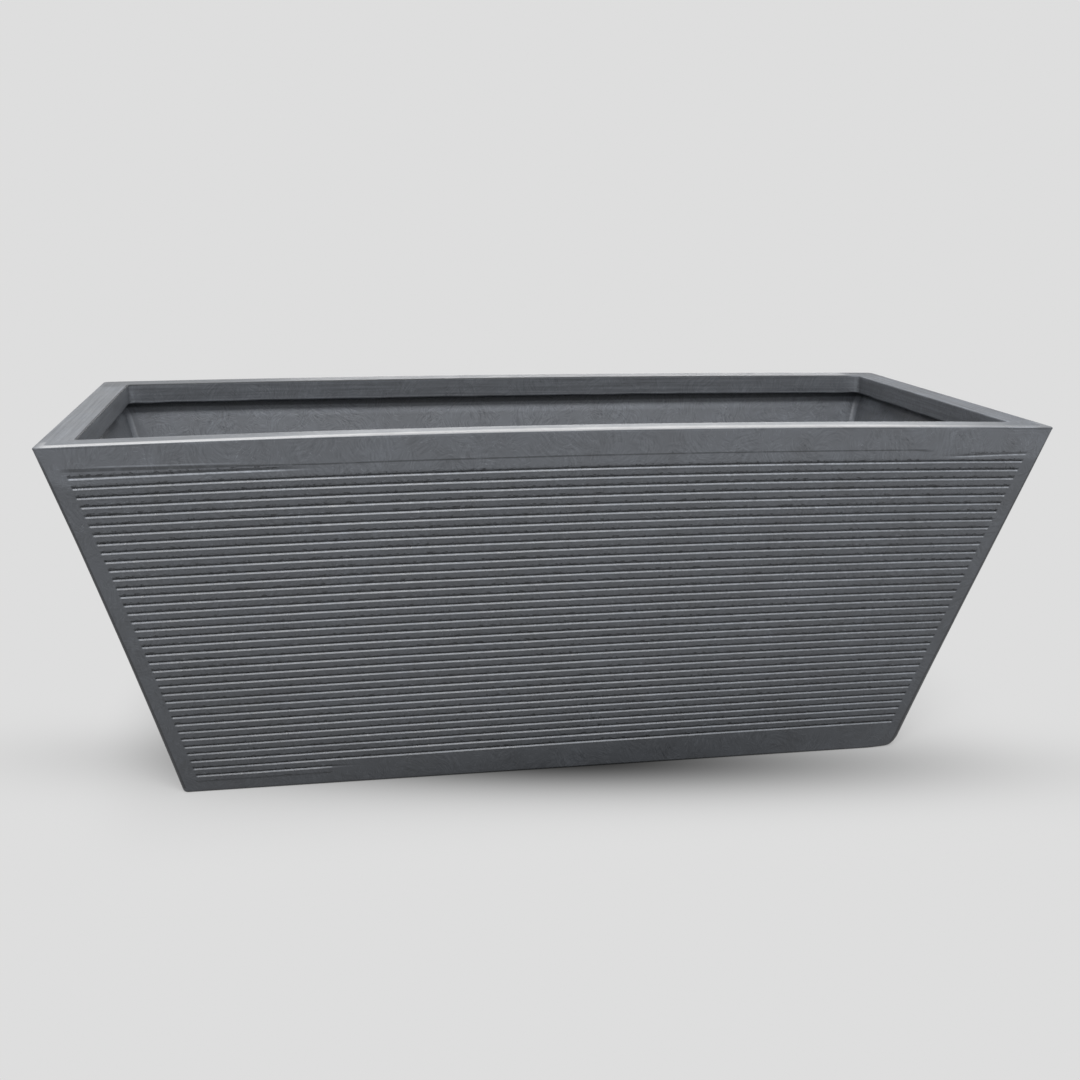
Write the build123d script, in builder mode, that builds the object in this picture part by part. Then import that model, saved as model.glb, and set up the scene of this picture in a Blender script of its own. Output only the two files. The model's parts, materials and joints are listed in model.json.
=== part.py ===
"""Self-watering trough planter.

A tapered, ribbed shell with a turned-in hollow rim holds a water insert: a slotted platform on hollow posts,
three wick cups, a fill tube with a flip lid and a float level indicator. An overflow fitting and a drain plug
sit in the back wall.

Millimetres. X runs along the length, -Y is the front, Z is up, the origin is the middle of the resting face.
"""

import math
import os

from build123d import *

# Fits
pin_clearance = 0.05
slide_gap = 0.3

# Shell
top_length = 813.0
top_depth = 365.0
height = 313.0
base_length = 641.0
base_depth = 222.0
top_corner_radius = 7.0
base_corner_radius = 14.0
base_edge_round = 4.0
wall_thickness = 5.0
floor_thickness = 6.0
inner_corner_radius = 8.0

# Turned-in rim
rim_width = 27.0
rim_thickness = 4.0
rim_outer_round = 3.0
rim_inner_chamfer = 1.2
lip_height = 19.0
lip_thickness = 4.0
lip_corner_radius = 5.0
corner_web_thickness = 4.0
corner_web_bite = 5.5

# Ribbing: narrow V grooves cut in the flush walls, at the same heights all round
groove_pitch = 7.565
groove_width = 3.2
groove_depth = 1.3
groove_end_margin = 17.0
groove_top_band = 30.2
groove_bottom_band = 25.0

# Water insert
platform_level = 80.0
platform_thickness = 4.0
platform_wall_gap = 2.0
platform_corner_radius = 12.0
skirt_inset = 4.0
skirt_thickness = 3.0
skirt_height = 6.0
rib_height = 9.0
rib_thickness = 3.0
socket_height = 10.0
socket_wall = 3.0
slot_length = 60.0
slot_width = 3.5
slot_gap_along = 10.0
slot_pitch_across = 15.0
slot_columns_beside_cup = 2

# Wick cups
cup_spacing = 200.0
cup_top_size = 100.0
cup_bottom_size = 84.0
cup_corner_radius = 9.0
cup_floor_level = 9.0
cup_wall = 2.2
cup_flange_width = 6.0
cup_flange_thickness = 3.0
cup_slot_width = 4.0
cup_slot_pitch = 17.0
cup_slot_count = 4
cup_slot_bottom_margin = 12.0
cup_slot_top_margin = 18.0

# Posts
post_size = 28.0
post_wall = 2.5
post_offset_y = 80.0
foot_notch_width = 9.0
foot_notch_height = 12.0

# Fill tube, funnel and lid
tube_inset_x = 47.0
tube_offset_y = -75.0
fill_tube_radius = 16.0
fill_tube_wall = 2.0
fill_tube_top = 262.0
funnel_wall = 2.5
funnel_socket_depth = 16.0
funnel_mouth_radius = 25.0
funnel_cone_height = 18.0
funnel_rim_height = 4.0
lid_overhang = 0.5
lid_thickness = 3.0
lid_skirt_height = 3.0
lid_skirt_gap = 1.0
lid_skirt_wall = 2.0
lid_tab_radius = 8.0
hinge_reach = 5.0
knuckle_radius = 3.8
knuckle_length = 9.4
ear_thickness = 4.0
ear_depth = 8.0
hinge_pin_radius = 1.5

# Level indicator
indicator_radius = 11.0
indicator_wall = 2.0
indicator_top = 236.0
indicator_slot_width = 4.0
indicator_slot_height = 70.0
window_wall = 2.0
window_socket_depth = 14.0
window_top = 288.0
window_chamfer = 2.5
float_height = 40.0
float_chamfer = 1.5
float_rod_radius = 1.5
rod_grip = 10.0
flag_height = 10.0
float_rise = 42.0

# Fittings in the back wall
pad_radius = 25.0
overflow_x = 200.0
overflow_level = 52.0
overflow_shank_radius = 10.0
overflow_bore_radius = 6.0
overflow_flange_radius = 17.0
overflow_flange_thickness = 6.0
overflow_spigot_radius = 8.0
overflow_spigot_length = 20.0
overflow_nut_size = 28.0
overflow_nut_thickness = 7.0
overflow_shank_reach = 18.0
gasket_thickness = 2.0
screen_wall = 2.0
screen_grip = 5.0
screen_end_thickness = 2.0
screen_slot_width = 2.0
screen_slot_pitch = 4.0
screen_slot_count = 3
drain_x = -200.0
drain_level = 28.0
drain_shank_radius = 10.0
drain_flange_radius = 15.0
drain_flange_thickness = 5.0
drain_shank_reach = 11.0
drain_shank_wall = 2.5
drain_grip_length = 22.0
drain_grip_thickness = 6.0
drain_grip_height = 12.0

# Shapes that follow from the sizes above
length_run = (top_length - base_length) / 2
depth_run = (top_depth - base_depth) / 2
length_lean = math.atan(length_run / height)
depth_lean = math.atan(depth_run / height)
wall_run_x = wall_thickness / math.cos(length_lean)
wall_run_y = wall_thickness / math.cos(depth_lean)
rim_under = height - rim_thickness
lip_bottom = height - lip_height
opening_length = top_length - 2 * rim_width
opening_depth = top_depth - 2 * rim_width
platform_top = platform_level + platform_thickness


def half_length(z):
    """Half the outer length at height z."""
    return base_length / 2 + length_run * z / height


def half_depth(z):
    """Half the outer depth at height z."""
    return base_depth / 2 + depth_run * z / height


def wall_plane(out_x, out_y, shift, z):
    """Plane on the outer face of the wall facing (out_x, out_y), local Y up the slope."""
    lean = length_lean if out_x else depth_lean
    origin_x = out_x * half_length(z) - out_y * shift
    origin_y = out_y * half_depth(z) + out_x * shift
    facing = (out_x * math.cos(lean), out_y * math.cos(lean), -math.sin(lean))
    return Plane(origin=(origin_x, origin_y, z), x_dir=(-out_y, out_x, 0), z_dir=facing)


def fit_count(space, size, pitch):
    """How many features of one size stand in a space at one pitch, at least one."""
    return max(1, int((space - size) / pitch) + 1)


overflow_plane = wall_plane(0, 1, -overflow_x, overflow_level)
drain_plane = wall_plane(0, 1, -drain_x, drain_level)
front_facings = [(0, -1), (0, 1)]
end_facings = [(-1, 0), (1, 0)]
groove_count = fit_count(height - groove_top_band - groove_bottom_band, 0, groove_pitch)

platform_length = 2 * (half_length(platform_level) - wall_run_x - platform_wall_gap)
platform_depth = 2 * (half_depth(platform_level) - wall_run_y - platform_wall_gap)
tube_x = platform_length / 2 - tube_inset_x
cup_flange_size = cup_top_size + 2 * cup_flange_width
cup_positions = {"left": -cup_spacing, "centre": 0.0, "right": cup_spacing}
post_positions = {
    "left_back": (-tube_x, post_offset_y),
    "mid_left_front": (-cup_spacing / 2, -post_offset_y),
    "mid_left_back": (-cup_spacing / 2, post_offset_y),
    "mid_right_front": (cup_spacing / 2, -post_offset_y),
    "mid_right_back": (cup_spacing / 2, post_offset_y),
    "right_back": (tube_x, post_offset_y),
}

os.makedirs("parts", exist_ok=True)

# ---------------------------------------------------------------- shell

with BuildPart() as planter_shell:
    with BuildSketch():
        RectangleRounded(base_length, base_depth, base_corner_radius)
    with BuildSketch(Plane.XY.offset(height)):
        RectangleRounded(top_length, top_depth, top_corner_radius)
    loft()
    fillet(planter_shell.edges().group_by(Axis.Z)[-1], rim_outer_round)
    fillet(planter_shell.edges().group_by(Axis.Z)[0], base_edge_round)

    # V grooves, each a straight run that stops short of the wall's slanted corners
    grooves = []
    for out_x, out_y in front_facings + end_facings:
        for index in range(groove_count):
            level = height - groove_top_band - index * groove_pitch
            face_half = half_depth(level) if out_x else half_length(level)
            wall = wall_plane(out_x, out_y, 0, level)
            across = Plane(origin=wall.origin, x_dir=wall.z_dir, z_dir=wall.x_dir)
            with BuildSketch(across, mode=Mode.PRIVATE) as groove_section:
                vee = [(-groove_depth, 0), (groove_depth, groove_width), (groove_depth, -groove_width)]
                Polygon(*vee, align=None)
            run = face_half - groove_end_margin
            grooves.append(extrude(groove_section.sketch, amount=run, both=True, mode=Mode.PRIVATE))
    add(grooves, mode=Mode.SUBTRACT)

    # plain round pads that carry the two fittings
    for plane in (overflow_plane, drain_plane):
        with BuildSketch(plane):
            Circle(pad_radius)
        extrude(amount=-2 * groove_depth)

    # cavity, opening and turned-down lip
    with BuildSketch(Plane.XY.offset(floor_thickness)):
        cavity_length = 2 * (half_length(floor_thickness) - wall_run_x)
        cavity_depth = 2 * (half_depth(floor_thickness) - wall_run_y)
        RectangleRounded(cavity_length, cavity_depth, base_corner_radius)
    with BuildSketch(Plane.XY.offset(rim_under)):
        cavity_length = 2 * (half_length(rim_under) - wall_run_x)
        cavity_depth = 2 * (half_depth(rim_under) - wall_run_y)
        RectangleRounded(cavity_length, cavity_depth, inner_corner_radius)
    loft(mode=Mode.SUBTRACT)
    with BuildSketch(Plane.XY.offset(rim_under)):
        RectangleRounded(opening_length, opening_depth, lip_corner_radius)
    extrude(amount=rim_thickness, mode=Mode.SUBTRACT)
    with BuildSketch(Plane.XY.offset(lip_bottom)):
        RectangleRounded(
            opening_length + 2 * lip_thickness,
            opening_depth + 2 * lip_thickness,
            lip_corner_radius + lip_thickness,
        )
        RectangleRounded(opening_length, opening_depth, lip_corner_radius, mode=Mode.SUBTRACT)
    extrude(amount=lip_height - rim_thickness / 2)

    # webs that tie the lip to the wall under the rim corners
    web_level = height - lip_height / 2
    lip_x = opening_length / 2 + lip_thickness - corner_web_bite / math.sqrt(2)
    lip_y = opening_depth / 2 + lip_thickness - corner_web_bite / math.sqrt(2)
    wall_x = half_length(web_level) - wall_run_x
    wall_y = half_depth(web_level) - wall_run_y
    web_length = math.hypot(wall_x - lip_x, wall_y - lip_y)
    web_angle = math.degrees(math.atan2(wall_y - lip_y, wall_x - lip_x))
    with BuildSketch(Plane.XY.offset(lip_bottom)):
        for side_x in (-1, 1):
            for side_y in (-1, 1):
                with Locations((side_x * (lip_x + wall_x) / 2, side_y * (lip_y + wall_y) / 2)):
                    Rectangle(web_length, corner_web_thickness, rotation=side_x * side_y * web_angle)
    extrude(amount=lip_height - rim_thickness / 2)

    inner_edges = planter_shell.edges().group_by(Axis.Z)[-1]
    inner_edges = inner_edges.filter_by_position(Axis.X, -opening_length / 2 - 1, opening_length / 2 + 1)
    inner_edges = inner_edges.filter_by_position(Axis.Y, -opening_depth / 2 - 1, opening_depth / 2 + 1)
    chamfer(inner_edges, rim_inner_chamfer)

    # holes for the two fittings
    with BuildSketch(overflow_plane):
        Circle(overflow_shank_radius + pin_clearance)
    extrude(amount=-2 * wall_thickness, mode=Mode.SUBTRACT)
    with BuildSketch(drain_plane):
        Circle(drain_shank_radius + pin_clearance)
    extrude(amount=-2 * wall_thickness, mode=Mode.SUBTRACT)

planter_shell.part.label = "planter_shell"
export_step(planter_shell.part, "parts/planter_shell.step")

# ---------------------------------------------------------------- platform

with BuildPart() as platform:
    with BuildSketch(Plane.XY.offset(platform_level)):
        RectangleRounded(platform_length, platform_depth, platform_corner_radius)
    extrude(amount=platform_thickness)

    # skirt, long ribs and sockets under the plate
    with BuildSketch(Plane.XY.offset(platform_level - skirt_height)):
        outer_length = platform_length - 2 * skirt_inset
        outer_depth = platform_depth - 2 * skirt_inset
        RectangleRounded(outer_length, outer_depth, platform_corner_radius - skirt_inset)
        RectangleRounded(
            outer_length - 2 * skirt_thickness,
            outer_depth - 2 * skirt_thickness,
            platform_corner_radius - skirt_inset - skirt_thickness,
            mode=Mode.SUBTRACT,
        )
    extrude(amount=skirt_height)
    rib_y = cup_flange_size / 2 + rib_thickness / 2
    rib_length = platform_length - 2 * skirt_inset - skirt_thickness
    with BuildSketch(Plane.XY.offset(platform_level - rib_height)):
        with Locations((0, -rib_y), (0, rib_y)):
            Rectangle(rib_length, rib_thickness)
    extrude(amount=rib_height)
    with BuildSketch(Plane.XY.offset(platform_level - socket_height)):
        with Locations(*post_positions.values()):
            socket_size = post_size + 2 * (pin_clearance + socket_wall)
            Rectangle(socket_size, socket_size)
        with Locations((-tube_x, tube_offset_y)):
            Circle(fill_tube_radius + pin_clearance + socket_wall)
        with Locations((tube_x, tube_offset_y)):
            Circle(indicator_radius + pin_clearance + socket_wall)
    extrude(amount=socket_height)

    # blind post sockets, through holes for the tubes and cups
    with BuildSketch(Plane.XY.offset(platform_level - socket_height)):
        with Locations(*post_positions.values()):
            Rectangle(post_size + 2 * pin_clearance, post_size + 2 * pin_clearance)
    extrude(amount=socket_height, mode=Mode.SUBTRACT)
    with BuildSketch(Plane.XY.offset(platform_level - socket_height)):
        with Locations((-tube_x, tube_offset_y)):
            Circle(fill_tube_radius + pin_clearance)
        with Locations((tube_x, tube_offset_y)):
            Circle(indicator_radius + pin_clearance)
        with Locations(*[(x, 0) for x in cup_positions.values()]):
            hole_size = cup_top_size + 2 * slide_gap
            RectangleRounded(hole_size, hole_size, cup_corner_radius + slide_gap)
    extrude(amount=socket_height + platform_thickness, mode=Mode.SUBTRACT)

    # drainage slots: between the cups, beside them and at the two ends
    slot_step = slot_length + slot_gap_along
    gap_room = cup_spacing - cup_flange_size
    end_room = platform_length / 2 - cup_spacing - cup_flange_size / 2 - skirt_inset - skirt_thickness
    middle_room = 2 * (post_offset_y - post_size / 2 - socket_wall - slot_width)
    side_room = platform_depth / 2 - skirt_inset - skirt_thickness - rib_y - rib_thickness / 2
    side_y = rib_y + rib_thickness / 2 + side_room / 2
    gap_columns = fit_count(gap_room, slot_length, slot_step)
    end_columns = fit_count(end_room, slot_length, slot_step)
    middle_rows = fit_count(middle_room, slot_width, slot_pitch_across)
    side_rows = fit_count(side_room - slot_width, slot_width, slot_pitch_across)
    with BuildSketch(Plane.XY.offset(platform_level)):
        with Locations((-cup_spacing / 2, 0), (cup_spacing / 2, 0)):
            with GridLocations(slot_step, slot_pitch_across, gap_columns, middle_rows):
                Rectangle(slot_length, slot_width)
        with Locations((-tube_x, 0), (tube_x, 0)):
            with GridLocations(slot_step, slot_pitch_across, end_columns, middle_rows):
                Rectangle(slot_length, slot_width)
        for x in cup_positions.values():
            with Locations((x, -side_y), (x, side_y)):
                with GridLocations(slot_step, slot_pitch_across, slot_columns_beside_cup, side_rows):
                    Rectangle(slot_length, slot_width)
    extrude(amount=platform_thickness, mode=Mode.SUBTRACT)

platform.part.label = "platform"
export_step(platform.part, "parts/platform.step")

# ---------------------------------------------------------------- posts

for place, (post_x, post_y) in post_positions.items():
    with BuildPart() as post:
        with BuildSketch(Plane.XY.offset(floor_thickness)):
            with Locations((post_x, post_y)):
                Rectangle(post_size, post_size)
                Rectangle(post_size - 2 * post_wall, post_size - 2 * post_wall, mode=Mode.SUBTRACT)
        extrude(amount=platform_level - floor_thickness)
        with BuildSketch(Plane.XY.offset(floor_thickness)):
            with Locations((post_x, post_y)):
                Rectangle(2 * post_size, foot_notch_width)
                Rectangle(foot_notch_width, 2 * post_size)
        extrude(amount=foot_notch_height, mode=Mode.SUBTRACT)
    post.part.label = "post_" + place
    export_step(post.part, "parts/post_" + place + ".step")

# ---------------------------------------------------------------- wick cups

cup_top_level = platform_top + cup_flange_thickness
slot_bottom = cup_floor_level + cup_slot_bottom_margin
slot_height = platform_level - cup_slot_top_margin - slot_bottom

for place, cup_x in cup_positions.items():
    with BuildPart() as cup:
        with BuildSketch(Plane.XY.offset(cup_floor_level)):
            with Locations((cup_x, 0)):
                RectangleRounded(cup_bottom_size, cup_bottom_size, cup_corner_radius)
        with BuildSketch(Plane.XY.offset(platform_top)):
            with Locations((cup_x, 0)):
                RectangleRounded(cup_top_size, cup_top_size, cup_corner_radius)
        loft()
        with BuildSketch(Plane.XY.offset(platform_top)):
            with Locations((cup_x, 0)):
                RectangleRounded(cup_flange_size, cup_flange_size, cup_corner_radius + cup_flange_width)
        extrude(amount=cup_flange_thickness)
        with BuildSketch(Plane.XY.offset(cup_floor_level + cup_wall)):
            with Locations((cup_x, 0)):
                inner_size = cup_bottom_size - 2 * cup_wall
                RectangleRounded(inner_size, inner_size, cup_corner_radius - cup_wall)
        with BuildSketch(Plane.XY.offset(cup_top_level)):
            with Locations((cup_x, 0)):
                inner_size = cup_top_size - 2 * cup_wall
                RectangleRounded(inner_size, inner_size, cup_corner_radius - cup_wall)
        loft(mode=Mode.SUBTRACT)

        # upright slots through opposite walls, then slots through the floor
        with Locations((cup_x, 0, slot_bottom + slot_height / 2)):
            with GridLocations(cup_slot_pitch, 1, cup_slot_count, 1):
                Box(cup_slot_width, 2 * cup_top_size, slot_height, mode=Mode.SUBTRACT)
            with GridLocations(1, cup_slot_pitch, 1, cup_slot_count):
                Box(2 * cup_top_size, cup_slot_width, slot_height, mode=Mode.SUBTRACT)
        with BuildSketch(Plane.XY.offset(cup_floor_level)):
            with Locations((cup_x, 0)):
                with GridLocations(1, cup_slot_pitch, 1, cup_slot_count):
                    Rectangle(cup_slot_pitch * (cup_slot_count - 1), cup_slot_width)
        extrude(amount=cup_wall, mode=Mode.SUBTRACT)
    cup.part.label = "wick_cup_" + place
    export_step(cup.part, "parts/wick_cup_" + place + ".step")

# ---------------------------------------------------------------- fill tube, funnel and lid

fill_bore = fill_tube_radius - fill_tube_wall
funnel_cone_top = fill_tube_top + funnel_cone_height
funnel_top = funnel_cone_top + funnel_rim_height
mouth_bore = funnel_mouth_radius - funnel_wall
hinge_y = tube_offset_y - funnel_mouth_radius - hinge_reach
hinge_z = funnel_top + lid_thickness / 2
lid_radius = funnel_mouth_radius + lid_overhang

with BuildPart() as fill_tube:
    with BuildSketch(Plane.XY.offset(floor_thickness)):
        with Locations((-tube_x, tube_offset_y)):
            Circle(fill_tube_radius)
            Circle(fill_bore, mode=Mode.SUBTRACT)
    extrude(amount=fill_tube_top - floor_thickness)
    with BuildSketch(Plane.XY.offset(floor_thickness)):
        with Locations((-tube_x, tube_offset_y)):
            Rectangle(3 * fill_tube_radius, foot_notch_width)
            Rectangle(foot_notch_width, 3 * fill_tube_radius)
    extrude(amount=foot_notch_height, mode=Mode.SUBTRACT)

fill_tube.part.label = "fill_tube"
export_step(fill_tube.part, "parts/fill_tube.step")

with BuildPart() as fill_funnel:
    socket_bore = fill_tube_radius + pin_clearance
    socket_outer = socket_bore + funnel_wall
    socket_bottom = fill_tube_top - funnel_socket_depth
    with BuildSketch(Plane(origin=(-tube_x, tube_offset_y, 0), x_dir=(1, 0, 0), z_dir=(0, -1, 0))):
        with BuildLine():
            Polyline(
                (fill_bore, fill_tube_top),
                (mouth_bore, funnel_cone_top),
                (mouth_bore, funnel_top),
                (funnel_mouth_radius, funnel_top),
                (funnel_mouth_radius, funnel_cone_top),
                (socket_outer, fill_tube_top),
                (socket_outer, socket_bottom),
                (socket_bore, socket_bottom),
                (socket_bore, fill_tube_top),
                close=True,
            )
        make_face()
    revolve(axis=Axis((-tube_x, tube_offset_y, 0), (0, 0, 1)))

    # two hinge ears, then the pin bore through both
    ear_start = knuckle_length / 2 + slide_gap
    ear_root_y = hinge_y + hinge_reach + funnel_wall / 2
    for ear_x in (ear_start, -ear_start - ear_thickness):
        with BuildSketch(Plane(origin=(ear_x - tube_x, 0, 0), x_dir=(0, 1, 0), z_dir=(1, 0, 0))):
            with BuildLine():
                Polyline(
                    (hinge_y - knuckle_radius, hinge_z),
                    (hinge_y - knuckle_radius, hinge_z - lid_thickness),
                    (ear_root_y, funnel_top - ear_depth),
                    (ear_root_y, funnel_top),
                    (hinge_y, funnel_top),
                    close=True,
                )
            make_face()
            with Locations((hinge_y, hinge_z)):
                Circle(knuckle_radius)
        extrude(amount=ear_thickness)
    with BuildSketch(Plane(origin=(-tube_x, hinge_y, hinge_z), x_dir=(0, 1, 0), z_dir=(1, 0, 0))):
        Circle(hinge_pin_radius + pin_clearance)
    extrude(amount=ear_start + 2 * ear_thickness, both=True, mode=Mode.SUBTRACT)

fill_funnel.part.label = "fill_funnel"
export_step(fill_funnel.part, "parts/fill_funnel.step")

with BuildPart() as fill_lid:
    with BuildSketch(Plane.XY.offset(funnel_top)):
        with Locations((-tube_x, tube_offset_y)):
            Circle(lid_radius)
        with Locations((-tube_x, (tube_offset_y + hinge_y) / 2)):
            Rectangle(knuckle_length, tube_offset_y - hinge_y)
        with Locations((-tube_x, tube_offset_y + lid_radius)):
            Circle(lid_tab_radius)
    extrude(amount=lid_thickness)
    with BuildSketch(Plane(origin=(-tube_x, hinge_y, hinge_z), x_dir=(0, 1, 0), z_dir=(1, 0, 0))):
        Circle(knuckle_radius)
    extrude(amount=knuckle_length / 2, both=True)
    with BuildSketch(Plane.XY.offset(funnel_top - lid_skirt_height)):
        with Locations((-tube_x, tube_offset_y)):
            Circle(mouth_bore - lid_skirt_gap)
            Circle(mouth_bore - lid_skirt_gap - lid_skirt_wall, mode=Mode.SUBTRACT)
    extrude(amount=lid_skirt_height)
    with BuildSketch(Plane(origin=(-tube_x, hinge_y, hinge_z), x_dir=(0, 1, 0), z_dir=(1, 0, 0))):
        Circle(hinge_pin_radius + pin_clearance)
    extrude(amount=knuckle_length, both=True, mode=Mode.SUBTRACT)

fill_lid.part.label = "fill_lid"
export_step(fill_lid.part, "parts/fill_lid.step")

with BuildPart() as lid_pin:
    with BuildSketch(Plane(origin=(-tube_x, hinge_y, hinge_z), x_dir=(0, 1, 0), z_dir=(1, 0, 0))):
        Circle(hinge_pin_radius)
    extrude(amount=ear_start + ear_thickness, both=True)

lid_pin.part.label = "lid_pin"
export_step(lid_pin.part, "parts/lid_pin.step")

# ---------------------------------------------------------------- level indicator

indicator_bore = indicator_radius - indicator_wall
window_outer = indicator_radius + pin_clearance + window_wall
float_radius = indicator_bore - slide_gap
float_bottom = floor_thickness + indicator_wall
float_top = float_bottom + float_height
flag_top = window_top - window_wall - float_rise - slide_gap
flag_bottom = flag_top - flag_height

with BuildPart() as indicator_tube:
    with BuildSketch(Plane.XY.offset(floor_thickness)):
        with Locations((tube_x, tube_offset_y)):
            Circle(indicator_radius)
    extrude(amount=indicator_top - floor_thickness)
    with BuildSketch(Plane.XY.offset(float_bottom)):
        with Locations((tube_x, tube_offset_y)):
            Circle(indicator_bore)
    extrude(amount=indicator_top - float_bottom, mode=Mode.SUBTRACT)
    with BuildSketch(Plane.XY.offset(float_bottom)):
        with Locations((tube_x, tube_offset_y)):
            Rectangle(3 * indicator_radius, indicator_slot_width)
            Rectangle(indicator_slot_width, 3 * indicator_radius)
    extrude(amount=indicator_slot_height, mode=Mode.SUBTRACT)

indicator_tube.part.label = "indicator_tube"
export_step(indicator_tube.part, "parts/indicator_tube.step")

with BuildPart() as indicator_window:
    with BuildSketch(Plane.XY.offset(indicator_top - window_socket_depth)):
        with Locations((tube_x, tube_offset_y)):
            Circle(window_outer)
    extrude(amount=window_top - indicator_top + window_socket_depth)
    chamfer(indicator_window.edges().group_by(Axis.Z)[-1], window_chamfer)
    with BuildSketch(Plane.XY.offset(indicator_top - window_socket_depth)):
        with Locations((tube_x, tube_offset_y)):
            Circle(indicator_radius + pin_clearance)
    extrude(amount=window_socket_depth, mode=Mode.SUBTRACT)
    with BuildSketch(Plane.XY.offset(indicator_top)):
        with Locations((tube_x, tube_offset_y)):
            Circle(indicator_bore)
    extrude(amount=window_top - window_wall - indicator_top, mode=Mode.SUBTRACT)

indicator_window.part.label = "indicator_window"
export_step(indicator_window.part, "parts/indicator_window.step")

with BuildPart() as indicator_float:
    with BuildSketch(Plane.XY.offset(float_bottom)):
        with Locations((tube_x, tube_offset_y)):
            Circle(float_radius)
    extrude(amount=float_height)
    chamfer(indicator_float.edges().filter_by(GeomType.CIRCLE), float_chamfer)
    with BuildSketch(Plane.XY.offset(float_top)):
        with Locations((tube_x, tube_offset_y)):
            Circle(float_rod_radius + pin_clearance)
    extrude(amount=-rod_grip, mode=Mode.SUBTRACT)

indicator_float.part.label = "indicator_float"
export_step(indicator_float.part, "parts/indicator_float.step")

with BuildPart() as indicator_rod:
    with BuildSketch(Plane.XY.offset(float_top - rod_grip)):
        with Locations((tube_x, tube_offset_y)):
            Circle(float_rod_radius)
    extrude(amount=flag_bottom + flag_height / 2 - float_top + rod_grip)

indicator_rod.part.label = "indicator_rod"
export_step(indicator_rod.part, "parts/indicator_rod.step")

with BuildPart() as indicator_flag:
    with BuildSketch(Plane.XY.offset(flag_bottom)):
        with Locations((tube_x, tube_offset_y)):
            Circle(float_radius)
    extrude(amount=flag_height)
    chamfer(indicator_flag.edges().filter_by(GeomType.CIRCLE), float_chamfer)
    with BuildSketch(Plane.XY.offset(flag_bottom)):
        with Locations((tube_x, tube_offset_y)):
            Circle(float_rod_radius + pin_clearance)
    extrude(amount=flag_height / 2, mode=Mode.SUBTRACT)

indicator_flag.part.label = "indicator_flag"
export_step(indicator_flag.part, "parts/indicator_flag.step")

# ---------------------------------------------------------------- overflow fitting

shank_end = -overflow_shank_reach
gasket_bore = overflow_shank_radius + pin_clearance

with BuildPart() as overflow_gasket:
    with BuildSketch(overflow_plane):
        Circle(overflow_flange_radius)
        Circle(gasket_bore, mode=Mode.SUBTRACT)
    extrude(amount=gasket_thickness)

overflow_gasket.part.label = "overflow_gasket"
export_step(overflow_gasket.part, "parts/overflow_gasket.step")

with BuildPart() as overflow_body:
    with BuildSketch(overflow_plane.offset(shank_end)):
        Circle(overflow_shank_radius)
    extrude(amount=overflow_shank_reach + gasket_thickness)
    with BuildSketch(overflow_plane.offset(gasket_thickness)):
        Circle(overflow_flange_radius)
    extrude(amount=overflow_flange_thickness)
    with BuildSketch(overflow_plane.offset(gasket_thickness + overflow_flange_thickness)):
        Circle(overflow_spigot_radius)
    extrude(amount=overflow_spigot_length)
    with BuildSketch(overflow_plane.offset(shank_end)):
        Circle(overflow_bore_radius)
    spigot_end = gasket_thickness + overflow_flange_thickness + overflow_spigot_length
    extrude(amount=overflow_shank_reach + spigot_end, mode=Mode.SUBTRACT)

overflow_body.part.label = "overflow_body"
export_step(overflow_body.part, "parts/overflow_body.step")

with BuildPart() as overflow_nut:
    with BuildSketch(overflow_plane.offset(-wall_thickness - overflow_nut_thickness)):
        RegularPolygon(overflow_nut_size / 2, 6, major_radius=False, rotation=30)
        Circle(gasket_bore, mode=Mode.SUBTRACT)
    extrude(amount=overflow_nut_thickness)

overflow_nut.part.label = "overflow_nut"
export_step(overflow_nut.part, "parts/overflow_nut.step")

with BuildPart() as overflow_screen:
    with BuildSketch(overflow_plane.offset(shank_end - screen_end_thickness)):
        Circle(gasket_bore + screen_wall)
    extrude(amount=screen_grip + screen_end_thickness)
    with BuildSketch(overflow_plane.offset(shank_end)):
        Circle(gasket_bore)
    extrude(amount=screen_grip, mode=Mode.SUBTRACT)
    with BuildSketch(overflow_plane.offset(shank_end - screen_end_thickness)):
        with GridLocations(1, screen_slot_pitch, 1, screen_slot_count):
            Rectangle(2 * overflow_bore_radius, screen_slot_width)
    extrude(amount=screen_end_thickness, mode=Mode.SUBTRACT)

overflow_screen.part.label = "overflow_screen"
export_step(overflow_screen.part, "parts/overflow_screen.step")

# ---------------------------------------------------------------- drain plug

with BuildPart() as drain_gasket:
    with BuildSketch(drain_plane):
        Circle(drain_flange_radius)
        Circle(drain_shank_radius + pin_clearance, mode=Mode.SUBTRACT)
    extrude(amount=gasket_thickness)

drain_gasket.part.label = "drain_gasket"
export_step(drain_gasket.part, "parts/drain_gasket.step")

with BuildPart() as drain_plug:
    with BuildSketch(drain_plane.offset(-drain_shank_reach)):
        Circle(drain_shank_radius)
    extrude(amount=drain_shank_reach + gasket_thickness)
    with BuildSketch(drain_plane.offset(-drain_shank_reach)):
        Circle(drain_shank_radius - drain_shank_wall)
    extrude(amount=drain_shank_reach, mode=Mode.SUBTRACT)
    with BuildSketch(drain_plane.offset(gasket_thickness)):
        Circle(drain_flange_radius)
    extrude(amount=drain_flange_thickness)
    with BuildSketch(drain_plane.offset(gasket_thickness + drain_flange_thickness)):
        SlotOverall(drain_grip_length, drain_grip_thickness)
    extrude(amount=drain_grip_height)

drain_plug.part.label = "drain_plug"
export_step(drain_plug.part, "parts/drain_plug.step")
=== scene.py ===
"""Self-watering trough planter: the dressed model, laid out as a Blender add-on and run as a script.

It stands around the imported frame. The shell is swept ring by ring and ribbed by Geometry Nodes, the water
insert and the fittings are finished copies of the frame's nodes, and a small stage lights them.
"""

import json
import math

import bmesh
import bpy
import numpy as np
from mathutils import Matrix, Vector
from mathutils.bvhtree import BVHTree


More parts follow.
